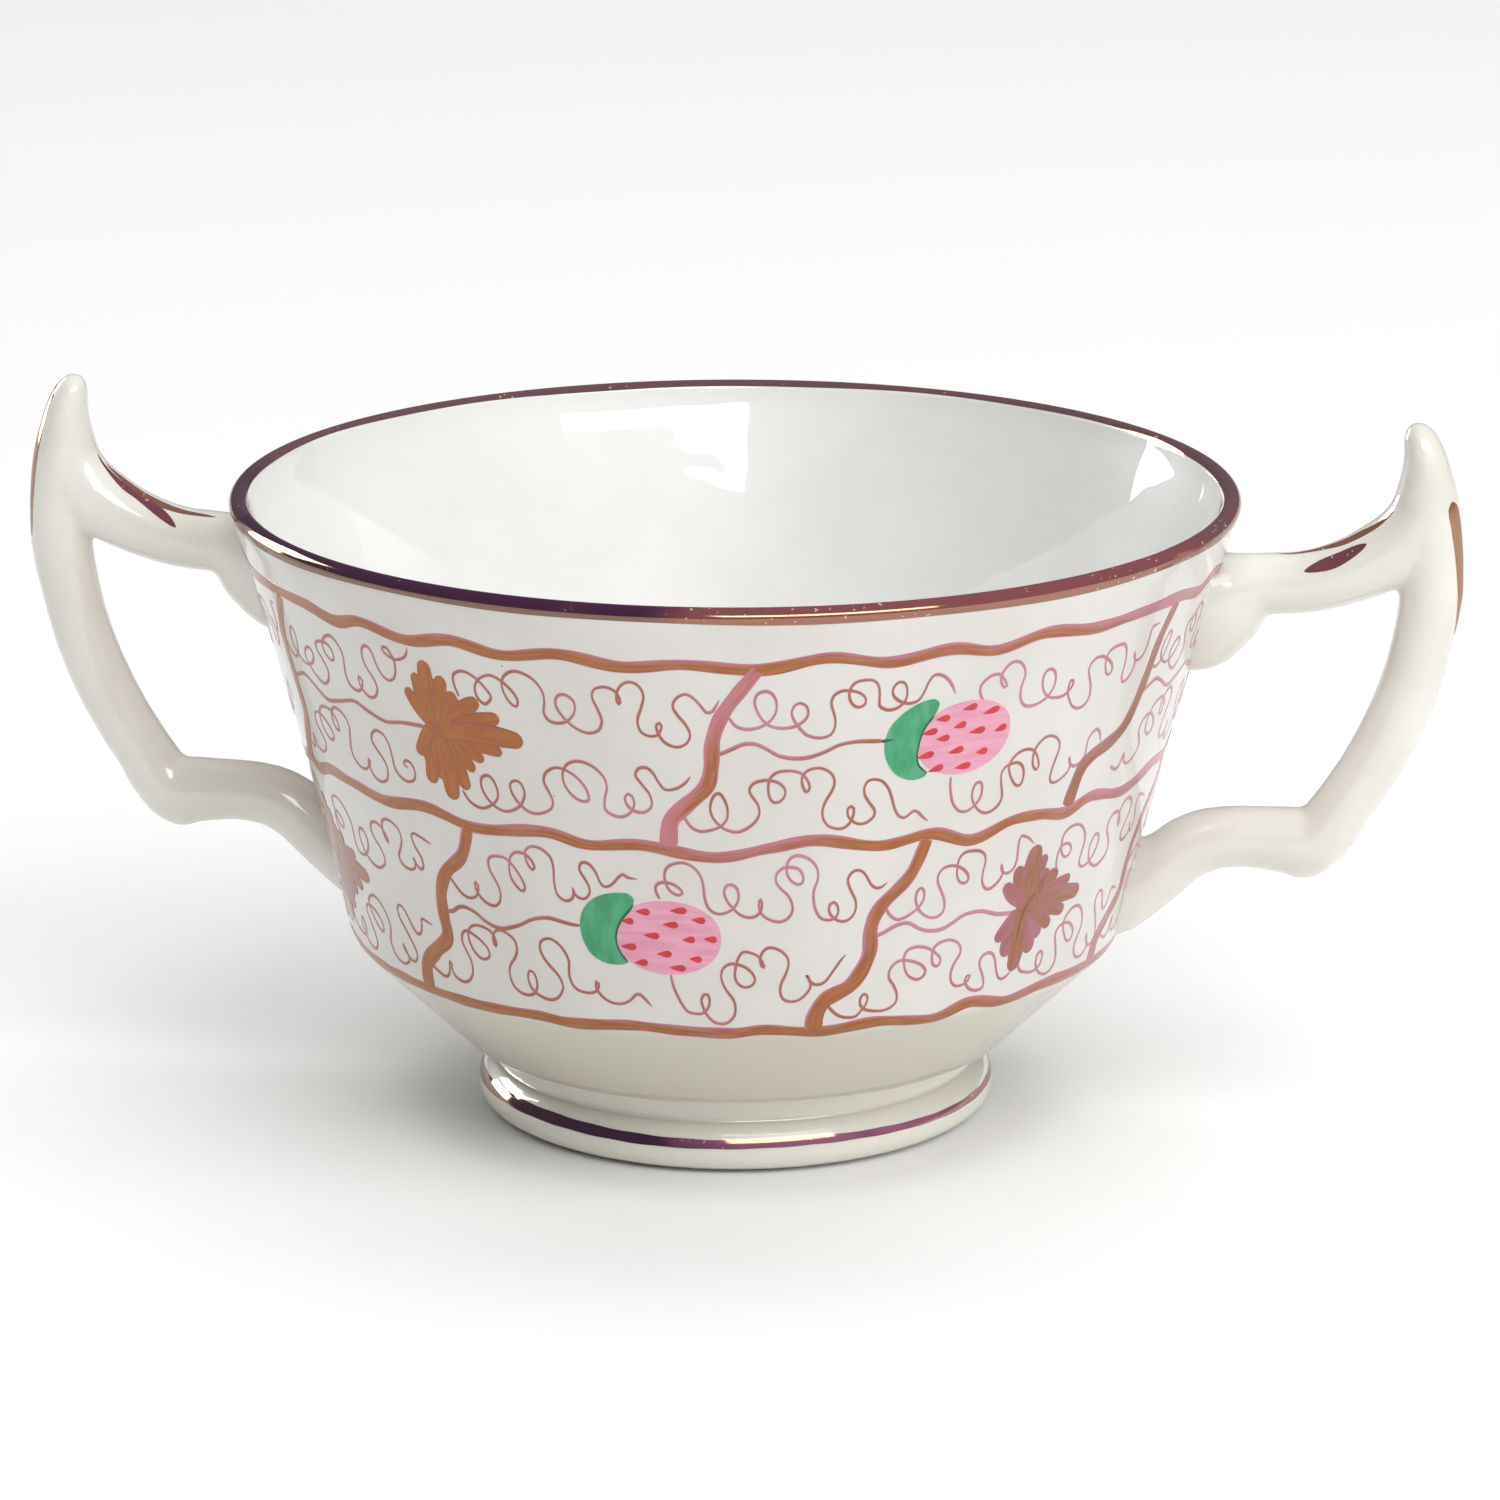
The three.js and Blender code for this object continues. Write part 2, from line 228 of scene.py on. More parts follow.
def glaze(name, pale, deep, pooled_and_shaded):
    """Lead-glazed earthenware: a matt off-white body under a clear gloss coat. The coat gives
    sharp soft-box highlights that wander a little where the glaze lies uneven. Under the
    shoulder the colour turns darker and beige: partly the glaze's pooling as the cup dried upside down, and
    partly painted shade on the underside."""
    material = new_material(name)
    place = add_node(material, "ShaderNodeTexCoord", "Object", {})
    cloud = add_node(material, "ShaderNodeTexNoise", "Fac",
                     {"Vector": place, "Scale": 1 / GLAZE_CLOUD_SIZE, "Detail": 3.0})
    ripple = add_node(material, "ShaderNodeTexNoise", "Fac",
                      {"Vector": place, "Scale": 1 / GLAZE_RIPPLE_SIZE, "Detail": 1.0})
    height = add_node(material, "ShaderNodeSeparateXYZ", "Z", {"Vector": place})
    # Painted shade, with some real pooling of the glaze: under the shoulder the colour turns darker and
    # beige.
    below = add_node(material, "ShaderNodeMapRange", "Result",
                     {"Value": height, "From Min": UNDER_SHOULDER[0], "From Max": UNDER_SHOULDER[1]},
                     **SMOOTH)
    thick = add_node(material, "ShaderNodeMapRange", "Result",
                     {"Value": cloud, "From Min": 0.35, "From Max": 0.65}, **SMOOTH)
    body = add_node(material, "ShaderNodeMix", MIXED,
                    {SHARE: thick, FIRST: colour(pale), SECOND: colour(deep)}, data_type="RGBA")
    body = add_node(material, "ShaderNodeMix", MIXED,
                    {SHARE: below, FIRST: body, SECOND: colour(pooled_and_shaded)}, data_type="RGBA")
    cells = {"Vector": place, "Scale": 1 / SPECK_SPACING}
    away_from_speck = add_node(material, "ShaderNodeTexVoronoi", "Distance", cells)
    lot = add_node(material, "ShaderNodeTexVoronoi", "Color", cells)
    lot = add_node(material, "ShaderNodeSeparateColor", "Red", {"Color": lot})
    speck_size = SPECK_RADIUS / SPECK_SPACING
    chosen = add_node(material, "ShaderNodeMapRange", "Result",
                      {"Value": lot, "From Min": 0.45, "From Max": 0.5, "To Max": 0.7}, **SMOOTH)
    near = add_node(material, "ShaderNodeMapRange", "Result",
                    {"Value": away_from_speck, "From Min": speck_size, "From Max": speck_size / 2},
                    **SMOOTH)
    speck = add_node(material, "ShaderNodeMath", "Value", {0: chosen, 1: near}, operation="MULTIPLY")
    spotted = add_node(material, "ShaderNodeMix", MIXED,
                       {SHARE: speck, FIRST: body, SECOND: colour(SPECK_COLOUR)}, data_type="RGBA")
    bump = add_node(material, "ShaderNodeBump", "Normal",
                    {"Height": ripple, "Strength": 1.0, "Distance": GLAZE_RIPPLE_DEPTH})
    shader = material.node_tree.nodes["Principled BSDF"]
    material.node_tree.links.new(spotted, shader.inputs["Base Color"])
    material.node_tree.links.new(bump, shader.inputs["Coat Normal"])
    shader.inputs["Roughness"].default_value = 0.45
    shader.inputs["Coat Weight"].default_value = 1.0
    shader.inputs["Coat Roughness"].default_value = 0.02
    shader.inputs["Coat IOR"].default_value = 1.52
    return material


bowl = turned("bowl_glazed", outside + lip[1:-1] + inside)
bowl.data.materials.append(glaze("outer_glaze_painted_shade", "#D9D6D1", "#D3CFC9", "#C8C4B4"))
# Inside, the glaze lies even and is painted whiter and cooler than outside: painted light inside the bowl,
# and painted shade on the outer wall and underside. Those faces look towards the axis, or straight up.
bowl.data.materials.append(glaze("inner_glaze_painted_light", "#EEEEEC", "#EAEAE7", "#EAEAE7"))
for face in bowl.data.polygons:
    looks_out = face.normal.xy.dot(face.center.xy.normalized())
    face.material_index = int(looks_out < 0 or face.normal.z > 0.9)
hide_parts("bowl")
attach(bowl, "root")


# Foot ring
# A ring turned with the bowl's underside: a narrow flat to stand on, a round swell, a
# short neck in shadow, and a sloped inside. On the cup the same glaze covers it all but the flat; here it
# covers the flat too.
FOOT_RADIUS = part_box("foot_ring")[1].x / MM
FOOT_SWELL_HEIGHT = 1.9
FOOT_SHOULDER_HEIGHT = 4.2
FOOT_CREST_HEIGHT = 5.3
FOOT_CREST_RADIUS = 25.6
FOOT_NECK_RADIUS = 25.3
FOOT_NECK_HEIGHT = 6.3
FOOT_UNDERCUT = 3.2
FOOT_HEEL_CUT = 0.35
FOOT_REST_WIDTH = 1.7
FOOT_INNER_RADIUS = 22
FOOT_ROUND_STEPS = 10
SUNK_IN_BOWL = 0.2

foot_top = UNDERSIDE_HEIGHT + SUNK_IN_BOWL
rest_outer = Vector((FOOT_RADIUS - FOOT_UNDERCUT, 0))
rest_inner = rest_outer - Vector((FOOT_REST_WIDTH, 0))
swell = Vector((FOOT_RADIUS, FOOT_SWELL_HEIGHT))
crest = Vector((FOOT_CREST_RADIUS, FOOT_CREST_HEIGHT))
neck = Vector((FOOT_NECK_RADIUS, FOOT_NECK_HEIGHT))
heel = Vector((FOOT_RADIUS - FOOT_HEEL_CUT, FOOT_HEEL_CUT))
foot_outside = bend(rest_outer, heel, swell, FOOT_ROUND_STEPS)
foot_outside += bend(swell, Vector((FOOT_RADIUS, FOOT_SHOULDER_HEIGHT)), crest, FOOT_ROUND_STEPS)[1:]
foot_outside += bend(crest, Vector((FOOT_NECK_RADIUS, FOOT_CREST_HEIGHT)), neck, FOOT_ROUND_STEPS)[1:]
foot_outline = [rest_inner] + foot_outside
foot_outline += [Vector((FOOT_NECK_RADIUS, foot_top)), Vector((FOOT_INNER_RADIUS, foot_top)), rest_inner]

foot = turned("foot_ring_glazed", foot_outline)
foot.data.materials.append(glaze("foot_lead_glaze", "#F0EEE6", "#EAE7DC", "#EAE7DC"))
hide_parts("foot_ring")
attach(foot, "root")


# Handles
# Two press-moulded clay handles, each with an upper arm that sweeps up into a horn, a
# grip, and a lower arm that curves down to its root. They are stuck on with slip, which
# is smoothed by finger into a small soft fillet, and the glaze rounds every edge.
# In mm: how near to the wall a point of a handle counts as touching it, how far those
# points are pulled in, and how far below the wall's surface the handle is trimmed.
TOUCH = 0.45
PULLED_IN = 1.5
CUT_DEPTH = 0.25
# The patch of the wall's skin that a handle is smoothed together with.
PATCH_DEPTH = 0.35
PATCH_THICKNESS = 1.0
PATCH_HALF_ANGLE = math.radians(9)
PATCH_STEPS = 24
# Smoothing shrinks the clay a little, so it is swelled first.
HANDLE_VOXEL = 0.33
HANDLE_SMOOTHING = 16
SWELL_BEFORE_SMOOTHING = 0.06

# Where the clay was thumbed in while soft: the distance from the axis, the height, the reach,
# and how far it was pushed outwards and up. All are in mm.
PRESSES = [
    (51.5, 52.0, 4.5, -0.9, 0.5), (70.3, 71.8, 4.5, 0.8, 0.0), (69.2, 67.6, 2.2, -0.2, 0.5),
    (65.5, 31.0, 5.5, -0.4, 0.2), (63.2, 27.6, 3, -0.5, 0.5), (61.0, 27.0, 3.5, 0.0, -0.35),
]
# Where it was wiped round: the distance from the axis, the height, the reach, and how often.
WIPES = [(64.5, 30.5, 7, 25), (69.0, 67.8, 5, 60), (50.5, 51.5, 6, 40)]


def radius_along(profile):
    """Gives the function from a height in mm to the radius there, on an outline that rises."""
    def radius_at(height):
        for low, high in zip(profile, profile[1:]):
            if height <= high.y:
                break
        share = (height - low.y) / max(high.y - low.y, 0.001)
        return low.x + (high.x - low.x) * share
    return radius_at


outside_radius = radius_along(outside[1:])


def pick(piece):
    """Selects one object alone and makes it the active one."""
    bpy.ops.object.select_all(action="DESELECT")
    piece.select_set(True)
    bpy.context.view_layer.objects.active = piece


def apply_modifier(piece, kind, **settings):
    """Adds a modifier with its settings, and applies it."""
    pick(piece)
    modifier = piece.modifiers.new(kind.lower(), kind)
    for setting, value in settings.items():
        setattr(modifier, setting, value)
    bpy.ops.object.modifier_apply(modifier=modifier.name)


def copied(node, name):
    """A merged copy of a CAD node's mesh, as an object of its own."""
    piece = bpy.data.objects.new(name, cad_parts[node].data.copy())
    piece.data.materials.clear()
    bpy.context.scene.collection.objects.link(piece)
    pick(piece)
    bpy.ops.object.mode_set(mode="EDIT")
    bpy.ops.mesh.select_all(action="SELECT")
    bpy.ops.mesh.remove_doubles(threshold=WELD_DISTANCE)
    bpy.ops.object.mode_set(mode="OBJECT")
    return piece


def slip_patch(middle):
    """A solid patch of the wall's skin behind a handle. The clay and it are smoothed as one."""
    wall = [point for point in outside if point.y > SHOULDER_HEIGHT - SHOULDER_ROUNDING]
    skin = [point - Vector((PATCH_DEPTH, 0)) for point in wall]
    back = [point - Vector((PATCH_THICKNESS, 0)) for point in reversed(skin)]
    piece = outlined("slip_patch", skin + back + skin[:1])
    bpy.ops.mesh.remove_doubles(threshold=WELD_DISTANCE)
    bpy.ops.mesh.edge_face_add()
    bpy.ops.mesh.select_all(action="SELECT")
    bpy.ops.mesh.spin(steps=PATCH_STEPS, angle=2 * PATCH_HALF_ANGLE, center=(0, 0, 0), axis=(0, 0, 1))
    bpy.ops.mesh.select_all(action="SELECT")
    bpy.ops.mesh.normals_make_consistent(inside=False)
    bpy.ops.object.mode_set(mode="OBJECT")
    piece.rotation_euler.z = middle - PATCH_HALF_ANGLE
    bpy.ops.object.transform_apply(location=False, rotation=True, scale=False)
    return piece


def press(piece, side):
    """Pushes the clay in where it was thumbed."""
    for out, height, reach, push_out, push_up in PRESSES:
        spot = Vector((side * out, 0, height))
        push = Vector((side * push_out, 0, push_up)) * MM
        for vertex in piece.data.vertices:
            share = max(0, 1 - (vertex.co / MM - spot).length / reach)
            vertex.co += push * share * share * (3 - 2 * share)


def wipe(piece, side):
    """Rounds the clay off where it was wiped."""
    for out, height, reach, passes in WIPES:
        spot = Vector((side * out, 0, height))
        wiped = piece.vertex_groups.new(name="wiped")
        for vertex in piece.data.vertices:
            share = 1 - (vertex.co / MM - spot).length / reach
            if share > 0:
                wiped.add([vertex.index], min(1, 2 * share), "REPLACE")
        apply_modifier(piece, "SMOOTH", factor=0.5, iterations=passes, vertex_group=wiped.name)


def handle(name, node, middle, material):
    """Smooths a handle, runs it into the wall with a soft fillet, and trims it there."""
    piece = copied(node, name)
    inwards = Vector((-math.cos(middle), -math.sin(middle), 0)) * PULLED_IN * MM
    for vertex in piece.data.vertices:
        place = vertex.co / MM
        if place.xy.length - outside_radius(place.z) < TOUCH:
            vertex.co += inwards
    patch = slip_patch(middle)
    pick(piece)
    patch.select_set(True)
    bpy.ops.object.join()
    apply_modifier(piece, "REMESH", mode="VOXEL", voxel_size=HANDLE_VOXEL * MM)
    apply_modifier(piece, "DISPLACE", strength=SWELL_BEFORE_SMOOTHING * MM, mid_level=0)
    apply_modifier(piece, "SMOOTH", factor=0.5, iterations=HANDLE_SMOOTHING)
    side = math.copysign(1, math.cos(middle))
    press(piece, side)
    wipe(piece, side)
    inner = [point - Vector((CUT_DEPTH, 0)) for point in outside[1:]]
    cutter = turned("wall_cutter", [Vector((0, inner[0].y))] + inner + [Vector((0, inner[-1].y))])
    apply_modifier(piece, "BOOLEAN", operation="DIFFERENCE", object=cutter, solver="EXACT")
    bpy.data.objects.remove(cutter)
    bpy.ops.object.shade_smooth_by_angle(angle=EDGE_ANGLE)
    piece.data.materials.clear()
    piece.data.materials.append(material)
    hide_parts(node)
    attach(piece, "root")
    return piece


handle_glaze = glaze("handle_lead_glaze", "#E6E4DC", "#E0DDD3", "#E0DDD3")
right_handle = handle("right_handle_glazed", "right_handle", 0, handle_glaze)
left_handle = handle("left_handle_glazed", "left_handle", math.pi, handle_glaze)


# Wavy lines
# Three lines of copper lustre drawn freehand round the wall as the cup turned on a wheel.
# The metal film is thin, so it shows copper brown where it lies full and pink where it
# lies thin, mostly along the upper edge of a stroke.
PATTERN_RADIUS = 46
PATTERN_START = 150
LINE_WIDTH = 1.25
LINE_ROWS = 9
PAINT_BURIED = 0.05
BRUSH_STEP = 0.3
MM_PER_DEGREE = PATTERN_RADIUS * math.pi / 180
FULL_TURN = 360 * MM_PER_DEGREE
SLOPE_STEP = 0.2
# The mm of a stroke's length that one unit of its UV map holds.
STROKE_MAP_UNIT = 10


def on_turned(radius_at):
    """Gives the function that sets a pattern's points on a turned surface. A point is the mm
    round a circle of the pattern's radius, from left to right, and the height in mm. Lift is in
    mm square to the surface, and the place comes out in metres."""
    def place(point, lift):
        along, height = point
        slope = (radius_at(height + SLOPE_STEP) - radius_at(height - SLOPE_STEP)) / (2 * SLOPE_STEP)
        length = math.hypot(1, slope)
        out = radius_at(height) + lift / length
        turn = math.radians(PATTERN_START - along / MM_PER_DEGREE)
        return Vector((out * math.cos(turn), -out * math.sin(turn), height - lift * slope / length)) * MM
    return place


def curve_point(a, b, c, d, s):
    """A point of the smooth curve from b to c, whose neighbours are a and d."""
    return 0.5 * (2 * b + (c - a) * s + (2 * a - 5 * b + 4 * c - d) * s * s
                  + (3 * b - a - 3 * c + d) * s ** 3)


def smooth_line(points, closed=False):
    """A smooth line through chosen points, in short even steps. A closed one ends where it
    starts, a full turn further on."""
    places = [Vector(point) for point in points]
    if closed:
        turn = Vector((FULL_TURN, 0))
        places = [places[-1] - turn] + places + [places[0] + turn, places[1] + turn]
    else:
        places = places[:1] + places + places[-1:]
    line = []
    for a, b, c, d in zip(places, places[1:], places[2:], places[3:]):
        steps = max(1, round((c - b).length / BRUSH_STEP))
        line += [curve_point(a, b, c, d, step / steps) for step in range(steps)]
    line.append(places[-2])
    return line


def lengths_along(line):
    """How far along a line each of its points is."""
    lengths = [0]
    for here, there in zip(line, line[1:]):
        lengths.append(lengths[-1] + (there - here).length)
    return lengths


def even_points(line, count):
    """The same line with its points spread evenly."""
    lengths = lengths_along(line)
    spread = []
    at = 0
    for i in range(count):
        goal = lengths[-1] * i / (count - 1)
        while at < len(line) - 2 and lengths[at + 1] < goal:
            at += 1
        share = (goal - lengths[at]) / (lengths[at + 1] - lengths[at])
        spread.append(line[at].lerp(line[at + 1], share))
    return spread


def all_round(points, stretch):
    """Repeats a drawn stretch of the pattern three times round the cup: once as drawn, and
    twice drawn out to share what is left. A stretch is where it starts, and its length."""
    start, length = stretch
    rest = (FULL_TURN - length) / 2
    copies = []
    for shift, grown in ((0, 1), (length, rest / length), (length + rest, rest / length)):
        copies.append([(start + shift + (x - start) * grown, z) for x, z in points])
    return copies


class Film:
    """Strokes of one paint on one surface, gathered up and then made into one piece."""

    def __init__(self, place, radius_at=outside_radius):
        self.place = place
        self.radius_at = radius_at
        self.points = []
        self.faces = []
        self.marks = []

    def wall(self, here, there, down):
        """Closes the film's edge from a point to the next, down to the points under them."""
        self.faces.append((here, here + down, there + down, there))

    def add(self, grid, marks, lift, closed=False):
        """Adds a closed film: the grid of points lifted off the surface, the same points just
        under it, and a wall round the edge. A closed grid runs right round the cup."""
        first = len(self.points)
        for height in (lift, -PAINT_BURIED):
            for row, row_marks in zip(grid, marks):
                self.points += [self.place(point, height) for point in row]
                self.marks += row_marks
        columns = len(grid[0])
        down = len(grid) * columns
        rows = [[first + i * columns + k for k in range(columns)] for i in range(len(grid))]
        next_rows = rows[1:] + rows[:1] if closed else rows[1:]
        for row, after in zip(rows, next_rows):
            for k in range(columns - 1):
                top = (row[k], after[k], after[k + 1], row[k + 1])
                self.faces.append(top)
                self.faces.append(tuple(point + down for point in reversed(top)))
            self.wall(row[0], after[0], down)
            self.wall(after[-1], row[-1], down)
        if not closed:
            for k in range(columns - 1):
                self.wall(rows[0][k + 1], rows[0][k], down)
                self.wall(rows[-1][k], rows[-1][k + 1], down)

    def stroke(self, line, width_at, lift, rows=2, closed=False):
        """Adds a brush stroke along a line of a turned surface. Width_at gives its width in mm
        from the mm gone along it, the mm left, and the direction that it runs in."""
        lengths = lengths_along(line)
        shares = [k / (rows - 1) for k in range(rows)]
        grid = []
        marks = []
        for i, here in enumerate(line[:-1] if closed else line):
            stretch = self.radius_at(here.y) / PATTERN_RADIUS
            run = line[min(i + 1, len(line) - 1)] - line[max(i - 1, 0)]
            run = Vector((run.x * stretch, run.y)).normalized()
            width = width_at(lengths[i], lengths[-1] - lengths[i], run)
            offsets = [(share - 0.5) * width for share in shares]
            grid.append([(here.x - run.y * o / stretch, here.y + run.x * o) for o in offsets])
            marks.append([(lengths[i] / STROKE_MAP_UNIT, share) for share in shares])
        self.add(grid, marks, lift, closed)

    def draw(self, lines, stretch, width_at, lift, rows=2):
        """Adds strokes along chosen lines of the drawn stretch and of its copies."""
        for points in lines:
            for copy in all_round(points, stretch):
                self.stroke(smooth_line(copy), width_at, lift, rows)

    def piece(self, name, material, slot):
        """Makes the gathered strokes into a piece that rides on the cup."""
        mesh = bpy.data.meshes.new(name)
        mesh.from_pydata(self.points, [], self.faces)
        layer = mesh.uv_layers.new(name="stroke")
        for loop, mapped in zip(mesh.loops, layer.data):
            mapped.uv = self.marks[loop.vertex_index]
        piece = bpy.data.objects.new(name, mesh)
        bpy.context.scene.collection.objects.link(piece)
        pick(piece)
        bpy.ops.object.shade_smooth_by_angle(angle=EDGE_ANGLE)
        mesh.materials.append(material)
        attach(piece, "root")


on_wall = on_turned(outside_radius)


# The hair marks in a stroke: about how long one is in mm, and how many lie side by side.
STREAK_LENGTH = 4.0
STREAKS_ACROSS = 5.0


def lustre(name, copper, pink, thinness, patch_size):
    """Copper lustre, a metal film fired on in smoke. It is coppery and partly metallic, and pink
    where it is thin: along the edges of a stroke and in patches. It is also painted pinker towards the
    right, a painted reflection of the pinker sheen the film shows there. The hairs of the brush leave long
    streaks in it."""
    material = new_material(name)
    place = add_node(material, "ShaderNodeTexCoord", "Object", {})
    # Painted reflection: the film is made pinker towards the right, for the pinker sheen it shows there.
    painted_reflection_rightward = add_node(material, "ShaderNodeSeparateXYZ", "X", {"Vector": place})
    stroke = add_node(material, "ShaderNodeUVMap", "UV", {}, uv_map="stroke")
    across = add_node(material, "ShaderNodeSeparateXYZ", "Y", {"Vector": stroke})
    hairs = add_node(material, "ShaderNodeMapping", "Vector",
                     {"Vector": stroke, "Scale": (STROKE_MAP_UNIT / STREAK_LENGTH, STREAKS_ACROSS, 1)})
    streaks = add_node(material, "ShaderNodeTexNoise", "Fac", {"Vector": hairs, "Scale": 1.0, "Detail": 2.0})
    patches = add_node(material, "ShaderNodeTexNoise", "Fac",
                       {"Vector": place, "Scale": 1 / patch_size, "Detail": 1.0})
    off_middle = add_node(material, "ShaderNodeMath", "Value", {0: across, 1: 0.5}, operation="SUBTRACT")
    off_middle = add_node(material, "ShaderNodeMath", "Value", {0: off_middle}, operation="ABSOLUTE")
    edge = add_node(material, "ShaderNodeMapRange", "Result",
                    {"Value": off_middle, "From Min": 0.3, "From Max": 0.5}, **SMOOTH)
    # Each adds its share to the pinkness: the first four for thin paint, and the last, the place towards the
    # right, as painted reflection. The last is in metres, so its share is large.
    thin = thinness
    for value, amount in ((across, 0.6), (edge, 0.7), (patches, 1.8), (streaks, 0.9), (painted_reflection_rightward, 9.0)):
        thin = add_node(material, "ShaderNodeMath", "Value", {0: value, 1: amount, 2: thin},
                        operation="MULTIPLY_ADD")
    pinkness = add_node(material, "ShaderNodeMapRange", "Result",
                        {"Value": thin, "From Min": 1.8, "From Max": 2.6}, **SMOOTH)
    fullness = add_node(material, "ShaderNodeMapRange", "Result",
                        {"Value": streaks, "From Min": 0.35, "From Max": 0.65}, **SMOOTH)
    paint = add_node(material, "ShaderNodeMix", MIXED,
                     {SHARE: fullness, FIRST: colour(copper[0]), SECOND: colour(copper[1])},
                     data_type="RGBA")
    paint = add_node(material, "ShaderNodeMix", MIXED,
                     {SHARE: pinkness, FIRST: paint, SECOND: colour(pink)}, data_type="RGBA")
    shader = material.node_tree.nodes["Principled BSDF"]
    material.node_tree.links.new(paint, shader.inputs["Base Color"])
    shader.inputs["Metallic"].default_value = 0.3
    shader.inputs["Roughness"].default_value = 0.3
    shader.inputs["Specular IOR Level"].default_value = 0.25
    shader.inputs["Coat Weight"].default_value = 0.4
    shader.inputs["Coat Roughness"].default_value = 0.08
    return material


TOP_LINE = [
    (9.6, 60.8), (14.5, 60.1), (18.5, 60.9), (24.1, 60.1), (29.3, 61.0), (34.5, 60.2), (40.1, 61.0),
    (45.8, 60.1), (51.4, 60.6), (58.2, 60.1), (64.2, 61.2), (69.8, 60.3), (75.5, 61.1), (80.3, 60.3),
    (85.5, 61.3), (91.5, 60.6), (97.9, 60.8),
]
TOP_LINE_LENGTH = 95.6
MIDDLE_LINE = [
    (0.0, 40.5), (4.0, 41.4), (9.6, 41.2), (15.3, 40.7), (21.7, 41.4), (28.1, 40.3), (36.1, 41.1),
    (40.9, 40.2), (46.6, 40.6), (53.8, 39.5), (59.4, 40.5), (64.2, 41.2), (70.7, 40.1), (76.3, 40.8),
    (81.1, 39.4), (85.9, 40.7), (89.9, 40.6), (93.9, 40.0), (97.9, 40.9), (104.4, 39.9), (112.4, 40.9),
]
MIDDLE_LINE_LENGTH = 118
BOTTOM_LINE = [
    (4.0, 20.1), (15.3, 19.9), (24.1, 19.8), (32.1, 20.1), (36.9, 19.8), (44.2, 20.3), (49.8, 20.0),
    (55.4, 19.8), (59.4, 20.2), (65.8, 19.7), (72.3, 20.3), (79.5, 19.7), (84.3, 20.8), (89.9, 19.9),
    (96.3, 20.4), (104.4, 20.2),
]
BOTTOM_LINE_LENGTH = 105.4
COPPER = ("#9A5A30", "#A86A3C")
LUSTRE_PINK = "#B87486"


def line_width(gone, left, run):
    """A freehand line swells and thins by a tenth as it goes."""
    return LINE_WIDTH * (1 + 0.08 * math.sin(gone * 0.41) + 0.05 * math.sin(gone * 1.13 + 1))


line_lustre = lustre("copper_lustre_lines", COPPER, LUSTRE_PINK, 0.1, 0.012)
lines = Film(on_wall)
for points, length in (
        (TOP_LINE, TOP_LINE_LENGTH), (MIDDLE_LINE, MIDDLE_LINE_LENGTH), (BOTTOM_LINE, BOTTOM_LINE_LENGTH)):
    ring = [point for copy in all_round(points, (points[0][0], length)) for point in copy]
    lines.stroke(smooth_line(ring, closed=True), line_width, PAINT_THICKNESS, LINE_ROWS, closed=True)
lines.piece("lustre_wavy_lines", line_lustre, "bowl_glaze")


# Vine branches
# Short slanting branches of the same lustre divide each band into panels. Each was drawn
# from the upper line down to the lower one, pressing harder towards the end.
# The drawn stretch of each band: where it starts along the wall, and its length.
UPPER_BAND = (0.8, 101.2)
LOWER_BAND = (21.0, 91.6)
BRANCH_WIDTH = 1.6
BRANCH_LIFT = PAINT_THICKNESS + 0.006
BRANCH_ROWS = 5

LEFT_BRANCH = [
    (-3.1, 40.9), (-1.8, 43.3), (0.3, 46.0), (0.7, 47.9), (0.7, 50.6), (0.9, 54.5), (1.8, 56.8),
    (3.9, 60.2),
]
MIDDLE_BRANCH = [
    (49.3, 40.6), (49.6, 43.3), (50.8, 44.8), (53.1, 47.2), (53.7, 49.5), (53.9, 52.5), (55.0, 55.6),
    (57.9, 60.0),
]
# The branch at the right end of the drawn stretch slants more than the others and is browner.
# It takes the place of the next copy of the left one.
RIGHT_BRANCH = [
    (93.8, 40.7), (94.6, 44.3), (96.0, 45.7), (99.4, 46.9), (101.2, 48.4), (102.4, 51.6), (103.3, 56.6),
    (104.8, 60.3),
]
LOWER_BRANCHES = [
    [(15.8, 20.2), (16.3, 22.9), (18.5, 24.85), (20.9, 26.8), (21.0, 29.5), (21.4, 32.15), (22.8, 34.5),
     (25.5, 36.8), (27.0, 40.1)],
    [(64.9, 19.9), (64.9, 21.4), (66.0, 23.3), (68.9, 24.85), (70.6, 27.9), (70.6, 31.0), (71.5, 33.3),
     (74.4, 36.4), (75.8, 40.2)],
]


def branch_width(gone, left, run):
    """The brush lands softly at the upper line, at the end of the list, and presses on to a
    round end at the lower one."""
    pressed = 0.85 + 0.25 * left / (gone + left)
    end = min(1, math.sqrt(min(gone, 0.6) / 0.6) + 0.3)
    return BRANCH_WIDTH * pressed * end * (1 + 0.05 * math.sin(gone * 1.7))


pink_branch_lustre = lustre("pink_lustre_branches", COPPER, "#BC7680", 0.5, 0.012)
upper_branches = Film(on_wall)
for copy in all_round(LEFT_BRANCH, UPPER_BAND)[::2] + all_round(MIDDLE_BRANCH, UPPER_BAND):
    upper_branches.stroke(smooth_line(copy), branch_width, BRANCH_LIFT, BRANCH_ROWS)
upper_branches.piece("lustre_upper_branches", pink_branch_lustre, "bowl_glaze")

lower_branches = Film(on_wall)
lower_branches.draw(LOWER_BRANCHES, LOWER_BAND, branch_width, BRANCH_LIFT, BRANCH_ROWS)
lower_branches.piece("lustre_lower_branches", line_lustre, "bowl_glaze")

brown_branch_lustre = lustre("brown_lustre_branch", ("#8E5638", "#9C6642"), "#A86A74", -0.22, 0.012)
right_branch = Film(on_wall)
right_branch.stroke(smooth_line(RIGHT_BRANCH), branch_width, BRANCH_LIFT, BRANCH_ROWS)
right_branch.piece("lustre_right_branch", brown_branch_lustre, "bowl_glaze")


